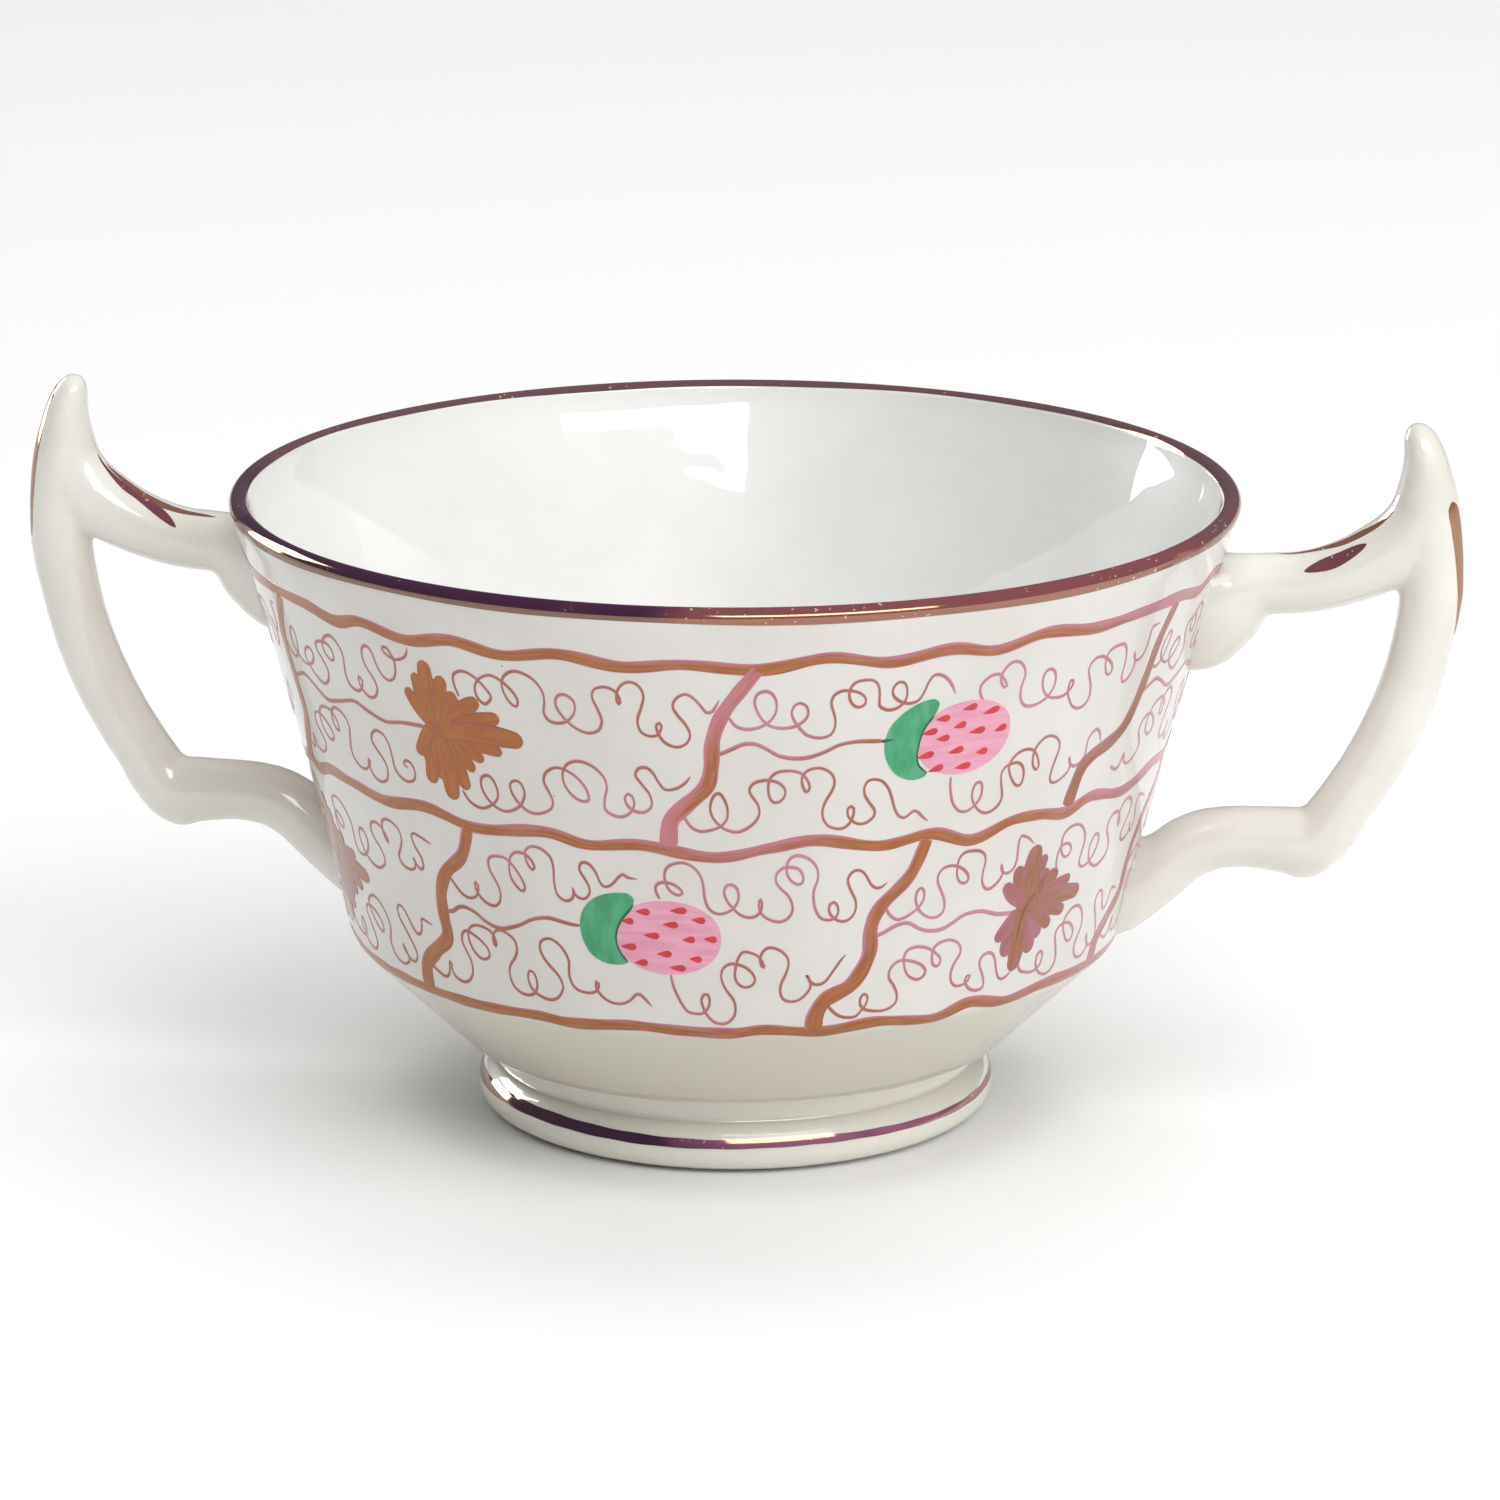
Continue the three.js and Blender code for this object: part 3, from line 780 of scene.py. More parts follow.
# Leaves
# A jagged vine leaf fills every other panel. It is dabbed on with single strokes of a
# round brush, pushed out from the middle, so its edge is a row of blunt petals. Where they
# cross, the film is thick and copper brown, and at their thin edges it is pink.
LEAF_LIFT = PAINT_THICKNESS + 0.006
PETAL_LIFT = LEAF_LIFT + 0.003
PETAL_LIFT_STEP = 0.0012
PETAL_ROWS = 7
LEAF_RINGS = 6
LEAF_EDGE_POINTS = 60
LEAF_BODY_REACH = 1.08
LEAF_BODY_HOLE = 0.001
PETAL_FULLNESS = 1.2
PETAL_BOW = 0.03

# Each petal: where it starts, its tip, and its width.
UPPER_LEAF = [
    ((25.6, 51.5), (25.65, 58.2), 1.5), ((25.1, 51.5), (24.2, 56.6), 1.2),
    ((24.8, 51.4), (22.65, 54.7), 1.15), ((26.2, 51.5), (27.45, 56.8), 1.3),
    ((26.9, 51.6), (28.5, 55.2), 1.3), ((27.6, 51.9), (31.15, 54.8), 1.35),
    ((27.9, 51.3), (33.2, 53.15), 1.3), ((28.2, 49.9), (32.9, 49.25), 1.1),
    ((27.3, 50.0), (30.6, 48.0), 1.15), ((27.0, 49.8), (29.2, 46.6), 1.1),
    ((26.3, 49.8), (27.9, 44.4), 1.3), ((24.8, 49.8), (23.3, 44.4), 1.4),
    ((24.7, 50.6), (22.4, 47.4), 1.2), ((25.8, 49.8), (25.85, 43.0), 1.6),
    ((27.5, 50.9), (35.4, 50.85), 1.7),
]
UPPER_LEAF_BODY = [
    (24.4, 51.1), (24.1, 51.9), (23.8, 53.3), (24.0, 54.6), (24.8, 55.8), (26.5, 55.9), (27.7, 54.8),
    (28.9, 54.1), (29.7, 52.8), (32.0, 51.9), (32.0, 50.2), (30.0, 49.2), (29.1, 48.4), (28.1, 47.2),
    (27.3, 46.1), (26.5, 45.3), (25.1, 45.4), (23.8, 46.4), (23.2, 47.8), (23.4, 49.0), (24.1, 50.2),
]
LOWER_LEAF = [
    ((89.9, 31.6), (88.1, 35.2), 1.3), ((91.9, 31.7), (94.75, 33.45), 1.4),
    ((92.5, 31.0), (97.3, 32.15), 1.1), ((92.0, 30.0), (97.3, 28.45), 1.2),
    ((91.6, 29.7), (95.1, 27.2), 1.15), ((90.6, 31.2), (90.35, 37.2), 1.75),
    ((92.0, 30.5), (99.7, 30.15), 1.5), ((90.1, 29.6), (90.1, 23.2), 1.55),
]
LOWER_LEAF_PINK = [
    ((91.1, 31.9), (92.1, 35.8), 1.1), ((91.5, 31.6), (92.9, 34.1), 1.1),
    ((91.4, 29.4), (93.4, 26.3), 1.3), ((91.0, 29.2), (92.3, 24.8), 1.4),
    ((89.5, 29.2), (88.3, 25.1), 1.7), ((89.3, 29.9), (86.7, 27.1), 1.25),
    ((89.4, 31.0), (86.65, 33.5), 1.15),
]
LOWER_LEAF_BODY = [
    (89.2, 30.4), (88.7, 31.6), (88.6, 33.0), (89.3, 34.2), (91.2, 34.5), (92.2, 33.7), (93.2, 33.1),
    (95.0, 32.0), (96.4, 31.0), (96.4, 29.5), (94.2, 29.0), (93.2, 28.0), (92.3, 27.2), (91.0, 26.4),
    (89.7, 26.2), (88.5, 27.2), (88.2, 28.3), (88.6, 29.4),
]
LOWER_LEAF_VEIN = [(91.6, 31.7), (90.9, 30.9), (90.3, 29.9), (90.0, 28.4), (89.95, 26.6)]
VEIN_WIDTH = 0.45
VEIN_LIFT = PETAL_LIFT + (len(LOWER_LEAF) + 2) * PETAL_LIFT_STEP
VEIN_ROWS = 3


def petal_width(width):
    """A petal opens out from the middle of the leaf and ends round."""
    def width_at(gone, left, run):
        opened = 0.95 + 0.25 * math.sin(math.pi * min(1, gone / (gone + left) / 0.85))
        blunt = math.sqrt(max(0, 1 - max(0, 1 - left / (width * 0.55)) ** 2))
        return max(0.04, width * opened * blunt)
    return width_at


def petals(film, drawn, stretch):
    """Dabs the petals on, each a little over the one before and bowed to one side."""
    for number, (root, tip, width) in enumerate(drawn):
        run = Vector(tip) - Vector(root)
        bowed = (Vector(root) + Vector(tip)) / 2 + Vector((-run.y, run.x)) * PETAL_BOW
        width_at = petal_width(width * PETAL_FULLNESS)
        lift = PETAL_LIFT + number * PETAL_LIFT_STEP
        film.draw([[root, tuple(bowed), tip]], stretch, width_at, lift, PETAL_ROWS)


def leaf_body(film, outline, stretch):
    """The solid middle of a leaf, filled in from its edge to its centre."""
    centre = sum((Vector(point) for point in outline), Vector((0, 0))) / len(outline)
    inwards = (1 - LEAF_BODY_HOLE) / (LEAF_RINGS - 1)
    shares = [LEAF_BODY_REACH * (1 - inwards * k) for k in range(LEAF_RINGS)]
    marks = [[(0.6 * share, 0.35 + 0.01 * i) for share in shares] for i in range(LEAF_EDGE_POINTS)]
    for *copy, middle in all_round(outline + [tuple(centre)], stretch):
        edge = even_points(smooth_line(copy + copy[:1]), LEAF_EDGE_POINTS + 1)[:-1]
        grid = [[tuple(Vector(middle).lerp(point, share)) for share in shares] for point in reversed(edge)]
        film.add(grid, marks, LEAF_LIFT, closed=True)


def vein_width(gone, left, run):
    """A vein is thin at both ends."""
    return VEIN_WIDTH * min(1, 0.3 + gone, 0.3 + left / 2)


leaf_lustre = lustre("copper_lustre_leaves", ("#A05A28", "#AC6832"), "#925642", 0.2, 0.004)
upper_leaves = Film(on_wall)
leaf_body(upper_leaves, UPPER_LEAF_BODY, UPPER_BAND)
petals(upper_leaves, UPPER_LEAF, UPPER_BAND)
upper_leaves.piece("lustre_upper_leaves", leaf_lustre, "bowl_glaze")

brown_lustre = lustre("brown_lustre_leaves", ("#955A3E", "#A0684C"), "#A06268", 0.0, 0.004)
lower_leaves = Film(on_wall)
leaf_body(lower_leaves, LOWER_LEAF_BODY, LOWER_BAND)
petals(lower_leaves, LOWER_LEAF, LOWER_BAND)
lower_leaves.piece("lustre_lower_leaves", brown_lustre, "bowl_glaze")

pink_lustre = lustre("pink_lustre_leaves", ("#985C54", "#A26460"), "#A86678", 0.3, 0.004)
pink_petals = Film(on_wall)
petals(pink_petals, LOWER_LEAF_PINK, LOWER_BAND)
pink_petals.piece("lustre_lower_leaf_edges", pink_lustre, "bowl_glaze")

vein_lustre = lustre("dark_lustre_vein", ("#7C4C34", "#885A42"), "#946054", 0.0, 0.004)
veins = Film(on_wall)
veins.draw([LOWER_LEAF_VEIN], LOWER_BAND, vein_width, VEIN_LIFT, VEIN_ROWS)
veins.piece("lustre_leaf_veins", vein_lustre, "bowl_glaze")


# Stems and tendrils
# The thinnest work is done with the tip of a fine brush: a waving stem to each leaf and
# berry, and looped tendrils above and below it that fill the panel without lifting off.
# The line is fat where the hand slows at the foot of a loop, and ends in a flick.
STEM_WIDTH = 0.38
TENDRIL_WIDTH = 0.31
STEM_LIFT = PAINT_THICKNESS - 0.004
TENDRIL_LIFT = PAINT_THICKNESS - 0.008

UPPER_STEMS = [
    [(1.2, 51.0), (2.5, 51.4), (4.3, 51.9), (6.0, 51.3), (8.5, 50.2), (11.0, 50.6), (14.0, 51.3),
     (16.0, 50.7), (18.5, 50.1), (21.0, 50.5), (24.5, 50.7)],
    [(54.3, 50.8), (55.5, 51.4), (56.7, 52.0), (57.8, 52.0), (58.8, 51.5), (60.0, 50.7), (61.4, 50.35),
     (62.8, 50.4), (64.3, 50.9), (65.7, 51.6), (67.2, 51.85), (68.7, 51.8), (70.4, 51.65)],
]
LOWER_STEMS = [
    [(21.4, 29.9), (22.6, 30.1), (23.6, 30.7), (24.7, 30.9), (26.1, 30.5), (27.0, 29.9), (28.2, 29.45),
     (29.4, 29.35), (30.6, 29.7), (31.9, 30.2), (33.2, 30.9), (34.4, 31.3), (35.6, 31.45), (36.9, 31.25),
     (38.2, 31.05), (39.4, 31.05)],
    [(71.3, 30.0), (72.3, 30.4), (73.3, 30.9), (74.3, 31.1), (75.1, 30.95), (76.0, 30.4), (77.0, 29.95),
     (78.3, 29.75), (79.4, 29.9), (80.5, 30.4), (81.6, 30.95), (82.8, 31.1), (84.0, 31.0), (85.0, 30.7),
     (86.2, 30.3), (87.6, 30.1), (89.2, 30.0)],
]
UPPER_TENDRILS = [
    [(1.6, 55.2), (2.2, 53.9), (3.3, 53.5), (4.3, 54.2), (4.9, 55.5), (5.0, 56.7), (4.4, 57.0), (3.7, 56.0),
     (3.6, 54.9), (4.3, 54.0), (5.5, 53.4), (6.5, 53.5), (7.6, 54.0), (8.2, 55.0), (7.6, 55.6), (6.7, 55.2),
     (6.2, 54.3), (6.7, 53.2), (7.8, 52.3), (8.9, 52.0), (10.0, 52.6), (10.5, 53.8), (10.0, 54.9),
     (9.4, 55.8), (9.6, 56.6), (10.6, 57.0), (11.8, 57.0), (12.4, 56.4), (12.4, 55.5), (11.8, 55.2),
     (11.1, 55.6), (10.8, 56.4), (11.3, 57.4), (12.6, 58.1), (13.6, 57.7), (14.2, 56.5), (14.0, 55.2),
     (13.8, 54.0), (14.2, 53.0), (15.2, 52.7), (16.0, 53.2), (16.4, 54.1), (16.0, 54.4), (15.8, 53.8),
     (16.1, 53.0), (17.0, 52.4), (18.0, 52.8), (18.5, 53.8), (18.2, 54.9), (17.6, 55.8), (17.4, 56.9),
     (17.7, 57.9), (18.4, 58.3), (19.0, 57.8), (19.2, 56.7), (19.6, 55.6), (20.4, 55.0), (21.3, 55.4),
     (21.8, 56.4), (21.9, 57.5), (21.6, 58.2), (21.3, 58.7), (20.7, 58.6), (20.8, 58.1), (21.8, 57.6),
     (22.6, 57.7), (23.4, 58.1), (23.9, 58.8), (24.0, 59.3)],
    [(-1.2, 43.6), (0.0, 43.0), (0.8, 43.3), (1.2, 44.5), (1.8, 43.4), (3.0, 43.1), (4.2, 43.6), (4.7, 44.6),
     (4.2, 45.5), (3.6, 46.3), (3.8, 47.3), (4.8, 47.9), (6.0, 47.7), (7.2, 46.8), (7.6, 45.9), (6.8, 45.3),
     (5.8, 45.7), (5.2, 46.7), (5.4, 47.9), (6.3, 48.8), (7.6, 49.1), (8.6, 48.9), (9.3, 48.2), (9.4, 47.2),
     (8.9, 46.9), (8.4, 47.6), (8.6, 48.7), (9.4, 49.5), (10.4, 49.5), (11.3, 49.0), (11.7, 48.0),
     (11.3, 46.7), (10.9, 45.4), (11.1, 44.3), (12.2, 43.6), (13.4, 43.9), (13.9, 45.0), (14.1, 44.8),
     (13.8, 44.0), (14.3, 43.1), (15.3, 42.8), (16.4, 43.3), (16.9, 44.4), (16.7, 45.4), (16.0, 46.3),
     (15.4, 47.2), (15.6, 48.0), (16.5, 48.7), (17.5, 48.5), (18.1, 47.6), (18.2, 46.3), (18.2, 45.0),
     (18.7, 44.2), (19.7, 43.8), (20.8, 44.2), (21.2, 45.1), (20.9, 46.0), (20.2, 46.2), (19.8, 45.7),
     (20.3, 45.4)],
    [(29.1, 54.9), (28.8, 56.2), (29.0, 57.3), (30.1, 57.8), (31.3, 57.3), (32.3, 56.2), (32.7, 55.3),
     (31.9, 54.5), (31.2, 55.1), (31.1, 56.2), (31.7, 57.2), (32.9, 57.8), (34.0, 57.4), (35.1, 56.3),
     (35.5, 55.3), (35.2, 54.7), (34.6, 55.1), (34.1, 56.3), (34.2, 57.5), (35.0, 58.4), (36.0, 58.6),
     (37.3, 58.0), (38.1, 56.8), (38.2, 55.6), (38.0, 54.4), (38.4, 53.6), (39.2, 53.4), (40.2, 53.7),
     (41.0, 54.7), (41.1, 55.9), (40.3, 56.6), (39.5, 56.3), (39.3, 55.3), (39.9, 54.1), (40.9, 53.1),
     (42.1, 52.6), (43.2, 53.0), (43.6, 54.1), (43.3, 55.3), (42.9, 56.6), (43.2, 57.5), (44.2, 57.8),
     (45.1, 57.4), (45.5, 56.5), (45.4, 56.0), (45.2, 56.3), (45.3, 57.4), (45.9, 58.3), (46.7, 58.5),
     (47.4, 58.0), (47.7, 57.0), (47.4, 55.7), (47.0, 54.4), (47.2, 53.2), (48.0, 52.7), (48.8, 52.9),
     (49.2, 53.8), (49.0, 54.2), (48.7, 53.8), (48.9, 52.9), (49.5, 52.0), (50.5, 51.6), (51.4, 52.0),
     (51.8, 53.0), (51.4, 54.1), (50.7, 55.1), (50.3, 56.1), (50.7, 57.0), (51.5, 57.4), (52.2, 57.0),
     (52.9, 56.1), (53.3, 55.5), (53.9, 55.6), (54.5, 56.8)],
    [(27.3, 44.3), (28.0, 43.2), (29.2, 42.7), (30.4, 43.1), (31.4, 44.0), (31.6, 45.1), (31.2, 46.2),
     (30.6, 46.5), (29.9, 46.0), (29.8, 44.9), (30.4, 43.7), (31.3, 43.0), (32.3, 42.8), (33.5, 43.3),
     (34.3, 44.1), (34.7, 45.2), (34.4, 46.2), (33.8, 46.4), (33.2, 45.9), (33.3, 44.9), (34.0, 43.8),
     (35.0, 43.1), (36.1, 43.1), (37.3, 43.7), (37.7, 44.6), (37.4, 45.6), (37.0, 46.7), (37.3, 47.7),
     (38.3, 48.4), (39.4, 48.3), (40.6, 47.5), (41.4, 46.3), (41.5, 45.2), (40.7, 45.0), (39.7, 45.7),
     (39.1, 46.9), (39.2, 48.2), (39.9, 49.1), (41.0, 49.4), (42.2, 49.0), (43.2, 48.0), (43.5, 46.8),
     (43.2, 45.6), (43.1, 44.4), (43.7, 43.8), (44.7, 43.6), (45.6, 44.1), (46.1, 45.1), (45.9, 46.0),
     (45.5, 46.2), (45.2, 45.6), (45.5, 44.8), (46.2, 44.3), (47.1, 44.3), (47.8, 45.0), (47.7, 46.2),
     (47.0, 47.3), (46.4, 48.3), (46.8, 49.1), (47.5, 49.2), (48.1, 48.7), (48.6, 47.7), (49.2, 46.9),
     (50.2, 47.0), (51.1, 47.6), (51.7, 48.4)],
    [(55.4, 54.9), (55.9, 54.1), (56.6, 53.7), (57.4, 53.65), (58.3, 53.9), (59.2, 54.6), (59.65, 55.6),
     (59.6, 56.8), (59.1, 57.6), (58.5, 57.75), (57.9, 57.4), (57.7, 56.6), (57.9, 55.7), (58.4, 54.7),
     (59.1, 54.0), (59.8, 53.75), (60.6, 53.7), (61.5, 53.9), (62.3, 54.5), (62.6, 55.3), (62.4, 56.0),
     (61.9, 56.35), (61.4, 56.2), (61.1, 55.6), (61.2, 54.8), (61.7, 53.9), (62.4, 53.0), (63.2, 52.6),
     (64.0, 52.5), (64.8, 52.8), (65.15, 53.6), (65.1, 54.6), (64.8, 55.6), (64.65, 56.4), (64.9, 57.1),
     (65.5, 57.5), (66.3, 57.5), (67.2, 57.2), (67.8, 56.6), (67.8, 55.9), (67.3, 55.6), (66.7, 55.9),
     (66.3, 56.7), (66.3, 57.6), (66.7, 58.3), (67.5, 58.55), (68.4, 58.45), (68.9, 57.9), (69.1, 57.0),
     (69.15, 56.0), (69.3, 55.5), (70.0, 55.1), (70.8, 55.15), (71.5, 55.7), (71.75, 56.5), (71.6, 57.5),
     (71.2, 58.0), (70.7, 57.95), (70.35, 57.4), (70.4, 56.7), (70.9, 56.1), (71.6, 55.7), (72.3, 55.6),
     (73.0, 55.9), (73.4, 56.7), (73.7, 57.7), (74.1, 58.35), (74.6, 58.45), (75.3, 58.1), (76.0, 57.3),
     (76.6, 56.1)],
    [(50.8, 44.3), (51.5, 43.0), (52.4, 42.4), (53.4, 42.5), (54.4, 42.9), (55.1, 43.7), (55.2, 44.8),
     (54.9, 45.9), (54.4, 46.6), (53.9, 46.3), (53.6, 45.5), (53.55, 44.6), (53.9, 43.7), (54.6, 42.9),
     (55.3, 42.5), (56.2, 42.35), (57.2, 42.8), (58.0, 43.6), (58.3, 44.5), (58.1, 45.4), (57.6, 46.2),
     (57.3, 46.9), (57.6, 47.6), (58.3, 47.95), (59.2, 48.0), (60.1, 47.7), (60.7, 47.0), (60.7, 46.2),
     (60.2, 45.6), (59.6, 45.6), (59.2, 46.3), (59.1, 47.4), (59.3, 48.3), (59.9, 48.85), (60.7, 49.0),
     (61.5, 48.95), (62.3, 48.6), (62.9, 47.8), (63.1, 47.0), (62.8, 46.6), (62.5, 47.0), (62.3, 47.8),
     (62.4, 48.5), (62.9, 49.0), (63.7, 49.2), (64.5, 49.0), (65.2, 48.4), (65.5, 47.5), (65.3, 46.6),
     (64.8, 45.6), (64.5, 44.6), (64.6, 43.6), (65.1, 42.8), (65.9, 42.4), (66.7, 42.4), (67.3, 42.9),
     (67.6, 43.7), (67.6, 44.5), (67.3, 44.75), (67.0, 44.4), (67.1, 43.7), (67.6, 43.1), (68.2, 42.75),
     (69.0, 42.8), (69.7, 43.4), (69.75, 44.1), (69.2, 44.9), (68.6, 45.9), (68.5, 46.8), (68.8, 47.4),
     (69.4, 47.55), (70.2, 47.3), (70.9, 46.5), (71.4, 45.4), (71.8, 44.2), (72.3, 43.3), (72.9, 42.95),
     (73.4, 43.2), (73.9, 43.6), (74.4, 43.4), (75.0, 42.8), (75.6, 42.3)],
    [(79.7, 54.9), (79.3, 55.6), (79.15, 56.4), (79.5, 57.1), (80.2, 57.55), (80.9, 57.6), (81.4, 57.2),
     (81.9, 56.5), (82.1, 56.1), (81.8, 56.0), (81.4, 56.5), (81.2, 57.3), (81.6, 58.2), (82.3, 58.7),
     (83.1, 58.5), (83.7, 57.8), (83.95, 57.0), (83.8, 56.0), (83.8, 55.0), (84.1, 54.1), (84.7, 53.5),
     (85.5, 53.35), (86.3, 53.5), (87.1, 53.9), (87.7, 54.7), (87.85, 55.7), (87.5, 56.7), (86.9, 57.1),
     (86.4, 56.9), (86.2, 56.2), (86.4, 55.2), (86.9, 54.4), (87.6, 53.9), (88.4, 53.7), (89.2, 53.7),
     (89.8, 54.0), (90.3, 54.7), (90.2, 55.2), (89.9, 55.25), (89.8, 54.7), (89.9, 53.9), (90.3, 53.1),
     (90.9, 52.3), (91.6, 51.9), (92.3, 51.85), (92.9, 52.2), (93.15, 52.9), (93.0, 53.9), (92.5, 55.0),
     (92.1, 55.9), (92.3, 56.7), (92.9, 57.1), (93.6, 57.1), (94.4, 56.7), (95.1, 56.2), (95.6, 55.6),
     (95.7, 55.0), (95.4, 54.7), (94.9, 55.0), (94.5, 55.8), (94.3, 56.6), (94.5, 57.3), (95.0, 57.65),
     (95.9, 57.8), (96.7, 57.7), (97.3, 57.0), (97.6, 56.0), (97.7, 54.9), (97.7, 54.0), (98.1, 53.3),
     (98.7, 53.4), (99.3, 54.0), (99.5, 54.9), (99.2, 55.7), (98.9, 56.3), (99.1, 55.7), (99.7, 55.25),
     (100.4, 55.4), (100.9, 56.2), (101.0, 57.5), (101.05, 58.5), (101.5, 58.6), (102.3, 58.7)],
    [(77.5, 46.9), (77.6, 45.8), (78.0, 44.3), (78.6, 43.3), (79.3, 42.8), (80.1, 42.8), (80.8, 43.3),
     (81.3, 44.0), (81.35, 45.0), (81.1, 45.7), (80.6, 45.75), (80.3, 45.2), (80.3, 44.3), (80.7, 43.4),
     (81.4, 42.6), (82.2, 42.2), (83.0, 42.3), (83.7, 42.8), (84.0, 43.6), (83.8, 44.5), (83.5, 45.5),
     (83.4, 46.3), (83.7, 46.95), (84.4, 47.2), (85.2, 47.2), (85.9, 46.7), (86.25, 45.9), (86.3, 45.1),
     (86.1, 44.6), (85.6, 44.6), (85.0, 45.2), (84.5, 46.0), (84.2, 46.8), (84.3, 47.5), (84.9, 48.2),
     (85.7, 48.5), (86.6, 48.4), (87.3, 47.9), (87.8, 47.1), (88.1, 46.3), (87.9, 45.9), (87.4, 46.3),
     (87.1, 47.1), (87.1, 48.1), (87.5, 48.9), (88.2, 49.4), (88.9, 49.45), (89.7, 49.1), (90.3, 48.5),
     (90.5, 47.7), (90.3, 46.6), (90.1, 45.5), (90.1, 44.5), (90.5, 44.0), (91.2, 43.95), (92.0, 44.3),
     (92.6, 44.8), (92.7, 45.5), (92.3, 46.4), (92.6, 45.7), (93.3, 45.2), (94.1, 45.3), (94.7, 45.9),
     (94.75, 46.8), (94.7, 47.7), (95.1, 48.4), (95.7, 48.7), (96.3, 48.3), (96.7, 47.6), (96.9, 47.1)],
]
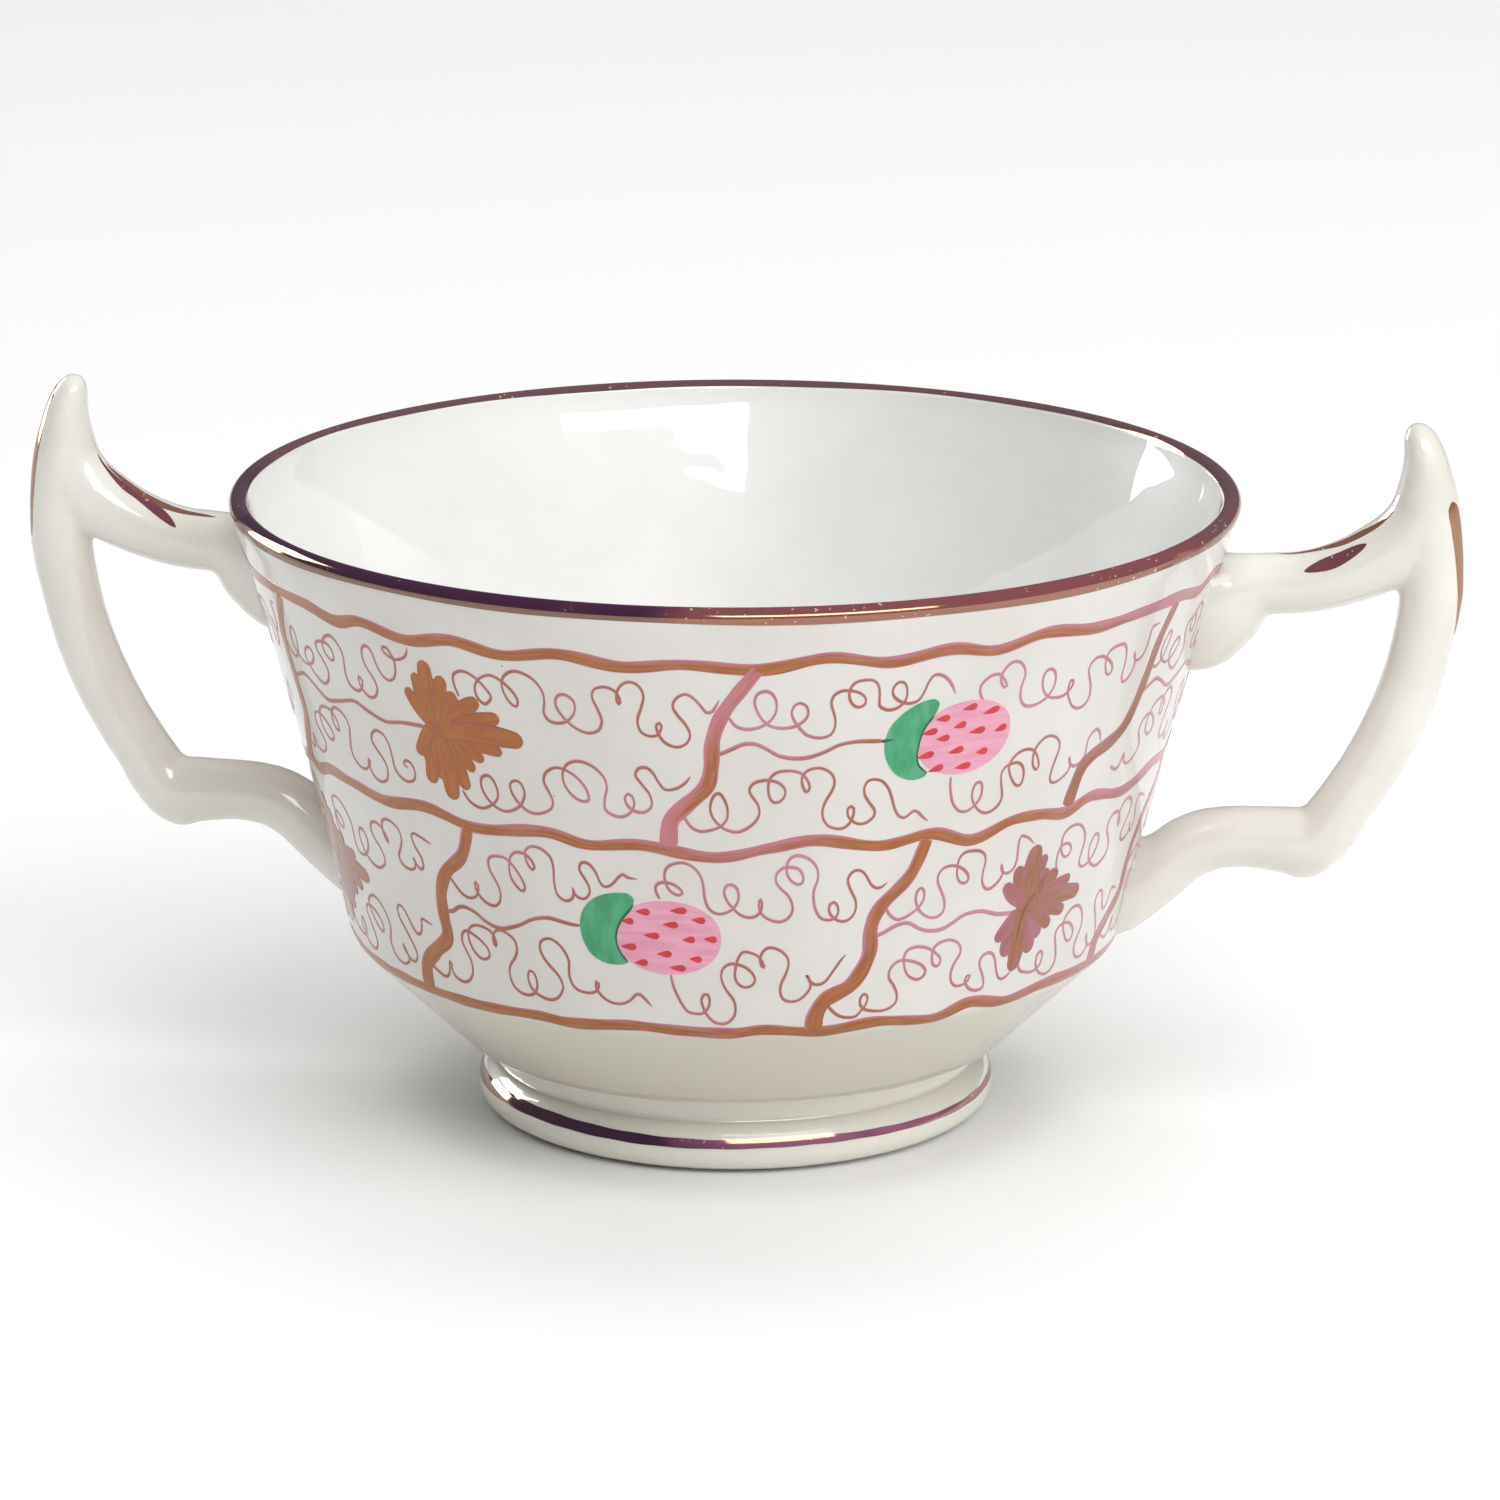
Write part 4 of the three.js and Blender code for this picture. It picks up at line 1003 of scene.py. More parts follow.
LOWER_TENDRILS = [
    [(22.9, 34.3), (23.6, 33.4), (24.1, 32.8), (24.7, 32.3), (25.5, 32.1), (26.4, 32.4), (26.9, 33.1),
     (27.0, 33.8), (26.7, 34.1), (26.6, 33.6), (26.8, 32.9), (27.4, 32.2), (28.3, 31.8), (29.1, 31.9),
     (29.7, 32.6), (29.85, 33.6), (29.5, 34.7), (29.0, 35.7), (28.9, 36.6), (29.3, 37.3), (30.2, 37.55),
     (31.1, 37.5), (31.8, 37.0), (32.4, 36.2), (32.9, 35.3), (33.1, 34.6), (32.9, 34.1), (32.5, 34.1),
     (31.9, 34.7), (31.5, 35.5), (31.5, 36.5), (31.8, 37.6), (32.3, 38.2), (33.0, 38.4), (33.8, 38.2),
     (34.4, 37.6), (34.6, 36.9), (34.3, 36.6), (34.0, 36.9), (33.7, 37.6), (33.7, 38.5), (34.2, 39.1),
     (35.0, 39.3), (35.9, 39.0), (36.6, 38.3), (36.8, 37.2), (36.7, 36.0), (36.7, 35.0), (36.9, 34.2),
     (37.5, 33.7), (38.1, 33.7), (38.6, 34.1), (38.8, 34.9), (38.7, 35.2), (38.9, 34.5), (39.5, 34.1),
     (40.1, 34.2), (40.6, 34.9), (40.5, 35.7), (40.1, 36.5), (39.7, 37.3), (39.9, 38.0), (40.4, 38.2),
     (41.0, 37.9), (41.5, 37.1), (41.8, 36.2), (42.2, 35.7), (42.8, 35.8), (43.4, 36.3), (43.9, 36.9),
     (44.4, 37.2), (44.9, 36.9), (45.8, 36.8)],
    [(16.6, 23.1), (17.3, 22.9), (18.2, 22.5), (19.2, 22.15), (19.9, 22.4), (20.3, 23.2), (20.5, 24.1),
     (20.8, 23.9), (20.7, 23.1), (21.1, 22.5), (22.2, 22.15), (23.1, 22.4), (23.8, 23.1), (24.1, 24.0),
     (24.0, 25.0), (23.5, 26.0), (23.2, 26.8), (23.4, 27.7), (24.1, 28.2), (25.0, 28.0), (26.0, 27.5),
     (26.8, 26.8), (27.0, 26.0), (26.5, 25.5), (25.7, 25.4), (24.9, 25.9), (24.4, 26.8), (24.3, 27.8),
     (24.7, 28.6), (25.5, 29.05), (26.6, 29.1), (27.6, 28.8), (28.1, 28.1), (28.2, 27.4), (28.0, 27.15),
     (27.85, 27.6), (27.9, 28.3), (28.4, 28.95), (29.2, 29.1), (30.1, 28.8), (30.8, 28.2), (30.9, 27.2),
     (30.5, 26.3), (29.9, 25.6), (29.5, 24.8), (29.5, 23.7), (29.9, 22.9), (30.7, 22.4), (31.6, 22.3),
     (32.4, 22.6), (32.9, 23.4), (32.9, 24.4), (32.6, 25.0), (32.2, 25.1), (31.9, 24.6), (31.9, 23.8),
     (32.3, 23.0), (33.0, 22.5), (34.0, 22.2), (34.9, 22.25), (35.7, 22.8), (36.2, 23.7), (36.1, 24.5),
     (35.6, 25.3), (34.8, 26.1), (34.2, 26.9), (33.9, 27.8), (34.1, 28.6), (34.7, 29.0), (35.4, 29.1),
     (36.2, 28.7), (36.9, 27.9), (37.3, 26.9), (37.2, 25.9), (37.2, 25.0), (37.5, 24.2), (38.1, 23.7),
     (38.9, 23.55), (39.8, 23.6), (40.4, 24.0), (40.6, 24.7), (40.3, 24.9), (40.3, 24.2), (40.8, 23.4),
     (41.5, 22.9), (42.4, 22.65), (43.4, 22.75), (44.2, 23.2), (44.8, 23.8), (45.3, 23.9), (45.9, 23.4),
     (46.6, 22.6)],
    [(48.1, 34.7), (47.8, 35.3), (47.7, 36.0), (48.1, 36.5), (48.8, 36.6), (49.6, 36.4), (50.3, 35.9),
     (50.5, 35.4), (50.1, 35.2), (49.4, 35.5), (48.9, 36.2), (48.7, 37.2), (48.9, 38.1), (49.5, 38.6),
     (50.4, 38.85), (51.2, 38.7), (52.0, 38.1), (52.5, 37.2), (52.7, 36.1), (52.8, 35.0), (53.1, 34.0),
     (53.7, 33.4), (54.5, 33.25), (55.4, 33.6), (56.0, 34.2), (56.3, 35.1), (56.1, 36.1), (55.5, 36.5),
     (55.0, 36.3), (54.8, 35.6), (55.1, 34.7), (55.7, 33.9), (56.4, 33.2), (57.3, 32.85), (58.1, 33.0),
     (58.6, 33.6), (58.7, 34.5), (58.5, 34.9), (58.4, 34.4), (58.5, 33.6), (58.9, 33.0), (59.7, 32.5),
     (60.6, 32.3), (61.4, 32.6), (61.9, 33.4), (61.8, 34.4), (61.3, 35.3), (60.6, 36.0), (60.1, 36.8),
     (60.2, 37.7), (60.9, 38.3), (61.8, 38.3), (62.5, 38.0), (62.9, 37.2), (62.8, 36.5), (62.3, 36.4),
     (61.6, 36.9), (61.2, 37.7), (61.2, 38.7), (61.6, 39.4), (62.3, 39.6), (63.2, 39.3), (64.0, 38.6),
     (64.4, 37.7), (64.4, 36.7), (64.1, 35.7), (64.1, 34.6), (64.4, 33.4), (65.0, 32.5), (65.8, 32.25),
     (66.5, 32.4), (66.8, 33.0), (66.7, 33.7), (66.3, 34.2), (65.9, 34.0), (65.8, 33.3), (66.2, 32.6),
     (66.9, 32.1), (67.7, 32.0), (68.4, 32.5), (68.7, 33.3), (68.6, 34.2), (68.2, 35.0), (67.8, 35.8),
     (67.6, 36.6), (67.9, 37.3), (68.5, 37.6), (69.2, 37.3), (69.7, 36.6), (70.2, 35.8), (70.8, 35.4),
     (71.4, 35.5), (71.9, 35.9)],
    [(48.9, 26.3), (49.1, 25.2), (49.5, 24.1), (50.0, 23.1), (50.6, 22.3), (51.4, 22.05), (52.3, 22.1),
     (52.9, 22.7), (53.1, 23.5), (52.9, 24.2), (52.5, 24.2), (52.2, 23.6), (52.4, 22.7), (52.8, 21.9),
     (53.5, 21.2), (54.3, 20.95), (55.1, 21.1), (55.8, 21.8), (55.95, 22.8), (55.7, 23.7), (55.1, 24.5),
     (54.6, 25.4), (54.4, 26.3), (54.6, 27.1), (55.2, 27.6), (56.0, 27.65), (57.0, 27.3), (57.8, 26.6),
     (58.1, 25.8), (57.7, 25.2), (56.9, 25.05), (56.2, 25.5), (55.9, 26.3), (56.0, 27.4), (56.3, 28.4),
     (56.8, 29.0), (57.6, 28.9), (58.4, 28.5), (58.9, 27.8), (59.1, 27.2), (58.8, 27.4), (58.6, 28.2),
     (58.9, 29.0), (59.4, 29.4), (60.0, 29.4), (60.9, 29.0), (61.6, 28.2), (61.7, 27.3), (61.4, 26.3),
     (61.0, 25.4), (60.9, 24.5), (61.2, 23.7), (61.9, 23.35), (62.8, 23.4), (63.6, 23.9), (64.2, 24.7),
     (64.2, 25.4), (63.8, 26.2), (64.1, 25.6), (64.6, 25.15), (65.3, 25.1), (65.9, 25.4), (66.5, 26.2),
     (67.1, 27.1), (67.6, 27.8), (68.0, 28.2)],
    [(71.8, 33.6), (72.2, 32.8), (72.7, 32.1), (73.5, 31.6), (74.3, 31.7), (75.1, 32.1), (75.8, 32.6),
     (76.3, 33.4), (76.3, 34.3), (75.9, 34.8), (75.5, 34.5), (75.4, 33.6), (75.8, 32.6), (76.4, 31.9),
     (77.2, 31.4), (78.0, 31.25), (78.7, 31.5), (79.0, 32.2), (78.8, 33.2), (78.3, 34.2), (77.8, 35.1),
     (77.7, 35.9), (78.1, 36.6), (78.9, 36.85), (79.8, 36.7), (80.7, 36.2), (81.4, 35.5), (81.5, 34.9),
     (81.1, 34.6), (80.4, 34.9), (80.0, 35.7), (79.9, 36.6), (80.0, 37.5), (80.5, 38.05), (81.3, 38.15),
     (82.3, 38.0), (83.1, 37.5), (83.4, 36.6), (83.3, 35.5), (83.4, 34.4), (83.9, 33.6), (84.5, 33.4),
     (85.2, 33.7), (85.8, 34.3), (86.0, 34.9), (85.8, 35.6), (85.6, 35.9), (85.8, 35.2), (86.4, 34.8),
     (87.0, 34.8), (87.5, 35.2), (87.7, 36.0), (87.6, 37.0), (87.5, 38.0), (87.7, 38.65), (88.3, 38.5),
     (89.0, 38.1), (89.8, 37.4)],
    [(66.0, 22.9), (66.6, 22.3), (67.1, 21.8), (67.9, 21.3), (68.9, 21.1), (69.7, 21.2), (70.3, 21.8),
     (70.8, 22.5), (70.9, 23.2), (70.5, 23.6), (70.1, 23.2), (70.1, 22.5), (70.6, 21.9), (71.6, 21.6),
     (72.7, 21.5), (73.7, 21.7), (74.4, 22.3), (74.4, 23.2), (73.9, 24.2), (73.3, 25.0), (73.2, 25.8),
     (73.6, 26.5), (74.3, 26.9), (75.2, 26.85), (76.3, 26.5), (77.2, 26.0), (77.7, 25.3), (77.4, 24.7),
     (76.7, 24.5), (75.8, 24.9), (75.2, 25.6), (74.9, 26.5), (74.8, 27.2), (75.1, 27.9), (75.8, 28.2),
     (76.8, 28.15), (77.8, 27.8), (78.7, 27.2), (79.4, 26.5), (79.4, 25.9), (79.0, 25.65), (78.5, 26.0),
     (78.3, 26.7), (78.3, 27.5), (78.7, 28.1), (79.5, 28.4), (80.4, 28.4), (81.3, 28.0), (81.9, 27.3),
     (81.9, 26.5), (81.4, 25.7), (81.1, 24.8), (81.2, 23.8), (81.8, 23.1), (82.5, 22.95), (83.2, 23.1),
     (83.7, 23.5), (83.8, 23.9), (83.4, 23.9), (83.2, 23.4), (83.6, 22.7), (84.3, 22.2), (85.2, 22.0),
     (85.9, 22.2), (85.9, 22.9), (85.5, 23.8), (85.0, 24.7), (84.9, 25.4), (85.3, 25.9), (86.0, 26.05),
     (86.7, 25.7), (87.2, 24.9), (87.6, 23.8), (88.1, 22.9), (88.7, 22.6), (89.4, 22.8), (90.0, 23.2)],
    [(94.4, 33.5), (94.1, 34.5), (94.1, 35.6), (94.5, 36.2), (95.2, 36.3), (95.9, 36.0), (96.3, 35.4),
     (96.0, 34.8), (95.4, 34.75), (94.8, 35.2), (94.4, 36.0), (94.3, 37.0), (94.6, 37.7), (95.4, 38.1),
     (96.5, 38.1), (97.5, 37.6), (98.3, 36.7), (98.6, 35.7), (98.5, 34.6), (98.4, 33.7), (98.8, 33.0),
     (99.5, 32.8), (100.3, 33.0), (101.0, 33.5), (101.5, 34.3), (101.6, 35.2), (101.2, 35.9), (100.6, 36.0),
     (100.1, 35.4), (100.0, 34.5), (100.3, 33.5), (100.9, 32.8), (101.8, 32.3), (102.7, 32.2), (103.6, 32.5),
     (104.3, 33.1), (104.4, 34.0), (103.9, 34.9), (103.3, 35.6), (103.0, 36.5), (103.4, 37.3), (104.2, 37.6),
     (105.0, 37.4), (105.6, 36.8), (106.0, 36.0), (105.8, 35.7), (105.4, 36.5), (105.4, 37.5), (105.8, 38.2),
     (106.6, 38.5), (107.5, 38.3), (108.3, 37.6), (108.3, 36.5), (107.8, 35.5), (107.3, 34.7), (107.5, 33.9),
     (108.4, 33.5), (109.4, 33.7), (109.8, 34.4), (109.7, 35.0), (109.9, 34.4), (110.5, 33.9), (111.0, 34.4),
     (110.9, 35.4), (110.3, 36.4), (110.1, 37.4), (110.5, 37.9), (111.5, 37.7), (112.8, 37.2)],
    [(90.7, 25.6), (90.9, 24.4), (91.1, 23.5), (91.6, 22.9), (92.5, 22.6), (93.4, 22.4), (94.2, 22.5),
     (94.9, 22.9), (95.1, 23.6), (94.9, 24.3), (94.5, 24.5), (94.1, 24.1), (94.1, 23.3), (94.5, 22.5),
     (95.2, 21.9), (96.1, 21.6), (97.0, 21.7), (97.7, 22.3), (97.8, 23.2), (97.5, 24.1), (97.1, 25.0),
     (96.8, 25.8), (97.1, 26.5), (97.9, 26.8), (98.9, 26.7), (99.7, 26.3), (100.4, 25.6), (100.5, 24.8),
     (100.1, 24.4), (99.4, 24.6), (98.7, 25.4), (98.2, 26.2), (98.0, 27.0), (98.4, 27.7), (99.2, 28.2),
     (100.0, 28.3), (100.9, 28.0), (101.7, 27.2), (102.2, 26.2), (102.2, 25.2), (101.8, 24.3), (101.6, 23.5),
     (101.9, 22.6), (102.6, 22.0), (103.5, 21.8), (104.3, 22.0), (104.9, 22.5), (104.7, 23.3), (104.2, 24.1),
     (104.5, 23.4), (105.2, 22.7), (106.0, 22.6), (106.6, 23.2), (106.6, 24.0), (106.1, 25.0), (105.4, 26.1),
     (104.8, 27.0), (104.6, 27.9), (105.0, 28.6), (105.7, 28.6), (106.3, 27.9), (106.9, 26.8), (107.5, 26.1),
     (108.2, 26.3), (108.6, 27.1), (108.8, 28.0), (109.4, 28.0), (110.5, 27.7)],
]


def fine_width(width):
    """A fine brush line: wider along the band than up and down it, and pointed at its end."""
    def width_at(gone, left, run):
        pressed = 0.82 + 0.34 * abs(run.x) + 0.1 * math.sin(gone * 0.9)
        flick = min(1, 0.35 + left / 1.4)
        landing = min(1, 0.5 + gone / 0.5)
        return width * pressed * flick * landing
    return width_at


fine_lustre = lustre("copper_lustre_tendrils", ("#9C5E48", "#A86A54"), "#C08494", 0.32, 0.012)
stems = Film(on_wall)
stems.draw(UPPER_STEMS, UPPER_BAND, fine_width(STEM_WIDTH), STEM_LIFT)
stems.draw(LOWER_STEMS, LOWER_BAND, fine_width(STEM_WIDTH), STEM_LIFT)
stems.piece("lustre_stems", fine_lustre, "bowl_glaze")

tendrils = Film(on_wall)
tendrils.draw(UPPER_TENDRILS, UPPER_BAND, fine_width(TENDRIL_WIDTH), TENDRIL_LIFT)
tendrils.draw(LOWER_TENDRILS, LOWER_BAND, fine_width(TENDRIL_WIDTH), TENDRIL_LIFT)
tendrils.piece("lustre_tendrils", fine_lustre, "bowl_glaze")


# Berries
# The strawberries are painted in opaque enamel over the glaze: an oval of pink laid on in
# level strokes, red seeds dabbed on it from the point to the round end, and a green calyx.
UPPER_BERRY = (78.4, 51.1)
UPPER_BERRY_SIZE = (4.95, 4.0)
LOWER_BERRY = (48.7, 30.4)
LOWER_BERRY_SIZE = (5.75, 4.1)
BERRY_ROWS = 17
BERRY_COLUMNS = 30
BERRY_BLUNTNESS = 0.9
BERRY_LIFT = PAINT_THICKNESS + 0.01
UPPER_SEEDS = [
    (78.4, 54.35), (80.8, 53.65), (75.7, 53.5), (77.6, 52.5), (74.5, 52.15), (79.6, 51.65), (82.2, 51.5),
    (76.0, 51.3), (74.4, 49.6), (77.6, 49.75), (80.5, 49.25), (75.7, 48.0), (78.6, 47.9),
]
LOWER_SEEDS = [
    (46.2, 33.2), (50.0, 33.5), (52.1, 32.5), (44.5, 32.05), (49.1, 31.9), (47.0, 30.6), (51.0, 30.3),
    (53.3, 30.4), (44.4, 29.2), (48.3, 28.6), (51.7, 28.15), (45.7, 27.5), (49.7, 27.1),
]
SEED_LENGTH = 1.6
SEED_WIDTH = 0.84
SEED_LIFT = BERRY_LIFT + 0.012
SEED_STEPS = 8
SEED_ROWS = 3


def enamel(name, pale, deep, along, across):
    """Opaque overglaze enamel, fired on at low heat: softly glossy, with the brush's streaks.
    Along and across are the width of a streak round the cup and up it, in metres."""
    material = new_material(name)
    place = add_node(material, "ShaderNodeTexCoord", "Object", {})
    drawn = add_node(material, "ShaderNodeMapping", "Vector",
                     {"Vector": place, "Scale": (1 / along, 1 / along, 1 / across)})
    streaks = add_node(material, "ShaderNodeTexNoise", "Fac", {"Vector": drawn, "Scale": 1.0, "Detail": 3.0})
    share = add_node(material, "ShaderNodeMapRange", "Result",
                     {"Value": streaks, "From Min": 0.3, "From Max": 0.7}, **SMOOTH)
    paint = add_node(material, "ShaderNodeMix", MIXED,
                     {SHARE: share, FIRST: colour(pale), SECOND: colour(deep)}, data_type="RGBA")
    shader = material.node_tree.nodes["Principled BSDF"]
    material.node_tree.links.new(paint, shader.inputs["Base Color"])
    shader.inputs["Roughness"].default_value = 0.3
    shader.inputs["IOR"].default_value = 1.5
    return material


def oval(film, middle, size, stretch):
    """An oval of paint, in columns of points from its left to its right."""
    levels = [k / (BERRY_ROWS - 1) for k in range(BERRY_ROWS)]
    grid = []
    marks = []
    for i in range(BERRY_COLUMNS + 1):
        angle = math.pi * i / BERRY_COLUMNS
        x = middle[0] - size[0] * math.cos(angle)
        reach = size[1] * max(math.sin(angle) ** BERRY_BLUNTNESS, 0.02)
        grid.append([(x, middle[1] + reach * (2 * level - 1)) for level in levels])
        marks.append([(i / BERRY_COLUMNS, level) for level in levels])
    for copy in zip(*(all_round(column, stretch) for column in grid)):
        film.add(copy, marks, BERRY_LIFT)


berries = Film(on_wall)
oval(berries, UPPER_BERRY, UPPER_BERRY_SIZE, UPPER_BAND)
oval(berries, LOWER_BERRY, LOWER_BERRY_SIZE, LOWER_BAND)
pink_enamel = enamel("pink_overglaze_enamel", "#E4A2B8", "#DA92AA", 0.004, 0.0006)
berries.piece("enamel_berries", pink_enamel, "bowl_glaze")


def seed_width(gone, left, run):
    """A seed starts as a point and ends round."""
    share = gone / (gone + left)
    return max(0.03, SEED_WIDTH * 1.55 * share ** 0.9 * math.sqrt(max(0, 1 - share ** 3)))


# The upper berry's seeds lean more than the lower one's.
seeds = Film(on_wall)
for places, stretch, lean, sway in (
        (UPPER_SEEDS, UPPER_BAND, 0.16, 0.12), (LOWER_SEEDS, LOWER_BAND, 0, 0.08)):
    for number, (x, z) in enumerate(places):
        tilt = lean + sway * math.sin(number * 2.4)
        reach = SEED_LENGTH * (1 + 0.16 * math.sin(number * 1.7)) / 2
        ends = [(x - reach, z - reach * tilt), (x + reach, z + reach * tilt)]
        for point, round_end in all_round(ends, stretch):
            line = [Vector(point).lerp(Vector(round_end), i / SEED_STEPS) for i in range(SEED_STEPS + 1)]
            seeds.stroke(line, seed_width, SEED_LIFT, SEED_ROWS)
red_enamel = enamel("red_overglaze_enamel", "#D0343A", "#BE2A3C", 0.001, 0.001)
seeds.piece("enamel_seeds", red_enamel, "bowl_glaze")


# Calyxes
# A green cap clasps the stem end of each berry, painted as one thick curved stroke with a
# thin darker line where it was finished against the berry.
UPPER_CAP_OUTSIDE = [
    (75.0, 55.5), (74.5, 55.8), (73.4, 55.6), (72.2, 55.0), (71.1, 54.0), (70.4, 52.9), (70.1, 51.6),
    (70.2, 50.2), (70.7, 49.0), (71.5, 47.9), (72.6, 47.25), (73.7, 47.05), (74.6, 47.35),
]
UPPER_CAP_INSIDE = [
    (75.12, 55.2), (75.05, 54.6), (74.7, 53.9), (74.2, 53.2), (73.8, 52.4), (73.6, 51.5), (73.5, 50.5),
    (73.5, 49.7), (73.65, 49.0), (73.9, 48.5), (74.3, 48.1), (74.8, 47.7),
]
LOWER_CAP_OUTSIDE = [
    (45.2, 34.75), (44.7, 35.1), (43.2, 35.05), (41.8, 34.7), (40.6, 34.0), (39.7, 33.0), (39.2, 31.8),
    (39.1, 30.5), (39.4, 29.2), (40.0, 28.1), (41.0, 27.4), (42.3, 27.05), (43.7, 27.15),
]
LOWER_CAP_INSIDE = [
    (45.32, 34.4), (45.2, 33.9), (44.8, 33.3), (44.2, 32.6), (43.7, 31.9), (43.3, 31.1), (43.1, 30.3),
    (43.1, 29.5), (43.3, 28.8), (43.6, 28.2), (43.9, 27.8), (44.2, 27.4),
]
CAP_ROWS = 9
CAP_STEPS = 26
CAP_LIFT = BERRY_LIFT + 0.016
CAP_EDGE_WIDTH = 0.24
CAP_EDGE_LIFT = CAP_LIFT + 0.008
# Where the upper berry's stem runs on over its cap.
STEM_TOUCH = [(69.8, 51.65), (70.8, 51.8)]
STEM_TOUCH_WIDTH = 0.36


def cap(film, outer, inner, stretch):
    """A cap, in rows of points from its outer line to its inner one."""
    shares = [k / (CAP_ROWS - 1) for k in range(CAP_ROWS)]
    marks = [[(i / CAP_STEPS, share) for share in shares] for i in range(CAP_STEPS)]
    for outer_copy, inner_copy in zip(all_round(outer, stretch), all_round(inner, stretch)):
        outer_line = even_points(smooth_line(outer_copy), CAP_STEPS)
        inner_line = even_points(smooth_line(inner_copy), CAP_STEPS)
        grid = [[tuple(a.lerp(b, share)) for share in shares] for a, b in zip(outer_line, inner_line)]
        film.add(grid, marks, CAP_LIFT)


caps = Film(on_wall)
cap(caps, UPPER_CAP_OUTSIDE, UPPER_CAP_INSIDE, UPPER_BAND)
cap(caps, LOWER_CAP_OUTSIDE, LOWER_CAP_INSIDE, LOWER_BAND)
green_enamel = enamel("green_overglaze_enamel", "#4BA87A", "#339262", 0.0011, 0.004)
caps.piece("enamel_calyxes", green_enamel, "bowl_glaze")

dark_edges = Film(on_wall)
dark_edges.draw([UPPER_CAP_INSIDE[2:]], UPPER_BAND, fine_width(CAP_EDGE_WIDTH), CAP_EDGE_LIFT)
dark_edges.draw([LOWER_CAP_INSIDE[1:]], LOWER_BAND, fine_width(CAP_EDGE_WIDTH), CAP_EDGE_LIFT)
dark_edges.draw([STEM_TOUCH], UPPER_BAND, fine_width(STEM_TOUCH_WIDTH), CAP_EDGE_LIFT)
dark_green = enamel("dark_green_enamel", "#2F5B44", "#33463C", 0.001, 0.001)
dark_edges.piece("enamel_calyx_edges", dark_green, "bowl_glaze")


# Lustre bands
# The lip is wiped all round with purple lustre while the cup turns, and a thinner line
# goes round the swell of the foot. Both flash gold where they mirror a light, and the lip's
# band is worn through in tiny flecks.
BAND_OUTSIDE = 1.5
BAND_INSIDE = 0.45
BAND_ROWS = 22
FOOT_LINE_HEIGHT = 3.5
FOOT_LINE_WIDTH = 0.86
FOOT_LINE_POINTS = 48
FOOT_LINE_ROWS = 7
# In metres: the clouds in which the film's colour drifts, and the flecks worn through it.
CLOUD_SIZE = 0.0111
FLECK_SIZE = 0.0005
GOLD_FLASH = "#FFD8A0"
WORN_COLOUR = "#DCCDB4"


def purple_lustre(name, dark, mauve, grey):
    """Purple lustre, a film of gold so fine that it is purple where the room is dark and flashes
    gold where it catches a light. The colour by place is painted reflection: dark on the left,
    mauve to the right and grey-brown behind, for what the film mirrors of the room there.
    A high IOR and a gold tint stand in for the film's strong reflection."""
    material = new_material(name)
    place = add_node(material, "ShaderNodeTexCoord", "Object", {})
    across = add_node(material, "ShaderNodeSeparateXYZ", "X", {"Vector": place})
    back = add_node(material, "ShaderNodeSeparateXYZ", "Y", {"Vector": place})
    patches = add_node(material, "ShaderNodeTexNoise", "Fac",
                       {"Vector": place, "Scale": 1 / CLOUD_SIZE, "Detail": 2.0})
    flecks = add_node(material, "ShaderNodeTexNoise", "Fac",
                      {"Vector": place, "Scale": 1 / FLECK_SIZE, "Detail": 1.0})
    # Painted reflection by place. Both places are in metres, so they count for 12 and 20 times their size.
    rightward_painted_reflection = add_node(material, "ShaderNodeMath", "Value", {0: across, 1: 12.0, 2: patches},
                         operation="MULTIPLY_ADD")
    rightward_painted_reflection = add_node(material, "ShaderNodeMapRange", "Result",
                         {"Value": rightward_painted_reflection, "From Min": 0.35, "From Max": 0.8}, **SMOOTH)
    backward_painted_reflection = add_node(material, "ShaderNodeMath", "Value", {0: back, 1: 20.0, 2: patches},
                        operation="MULTIPLY_ADD")
    backward_painted_reflection = add_node(material, "ShaderNodeMapRange", "Result",
                        {"Value": backward_painted_reflection, "From Min": -0.1, "From Max": 0.75}, **SMOOTH)
    paint = add_node(material, "ShaderNodeMix", MIXED,
                     {SHARE: rightward_painted_reflection, FIRST: colour(dark), SECOND: colour(mauve)}, data_type="RGBA")
    paint = add_node(material, "ShaderNodeMix", MIXED,
                     {SHARE: backward_painted_reflection, FIRST: paint, SECOND: colour(grey)}, data_type="RGBA")
    fleck = add_node(material, "ShaderNodeMapRange", "Result",
                     {"Value": flecks, "From Min": 0.69, "From Max": 0.74}, **SMOOTH)
    worn_patch = add_node(material, "ShaderNodeMapRange", "Result",
                          {"Value": patches, "From Min": 0.5, "From Max": 0.62}, **SMOOTH)
    worn = add_node(material, "ShaderNodeMath", "Value", {0: fleck, 1: worn_patch}, operation="MULTIPLY")
    paint = add_node(material, "ShaderNodeMix", MIXED,
                     {SHARE: worn, FIRST: paint, SECOND: colour(WORN_COLOUR)}, data_type="RGBA")
    shader = material.node_tree.nodes["Principled BSDF"]
    material.node_tree.links.new(paint, shader.inputs["Base Color"])
    shader.inputs["Roughness"].default_value = 0.08
    shader.inputs["IOR"].default_value = 2.5
    shader.inputs["Specular Tint"].default_value = colour(GOLD_FLASH)
    return material


def on_lip(point, lift):
    """Sets a point of the band on the lip. A point is the turn round the axis, and the mm gone
    over the lip: below 0 is down the outside wall, then comes the half-round, and then the
    inside wall. Lift is in mm square to the surface, and the place comes out in metres."""
    turn, way = point
    over = math.pi * lip_radius
    if way < 0:
        height = lip_centre.y + way
        place = Vector((outside_radius(height), height))
        outwards = Vector((1, 0))
    elif way < over:
        outwards = Vector((math.cos(way / lip_radius), math.sin(way / lip_radius)))
        place = lip_centre + outwards * lip_radius
    else:
        place = inside[0] + (inside[1] - inside[0]).normalized() * (way - over)
        outwards = Vector((-1, 0))
    out = place + outwards * lift
    return Vector((out.x * math.cos(turn), out.x * math.sin(turn), out.y)) * MM


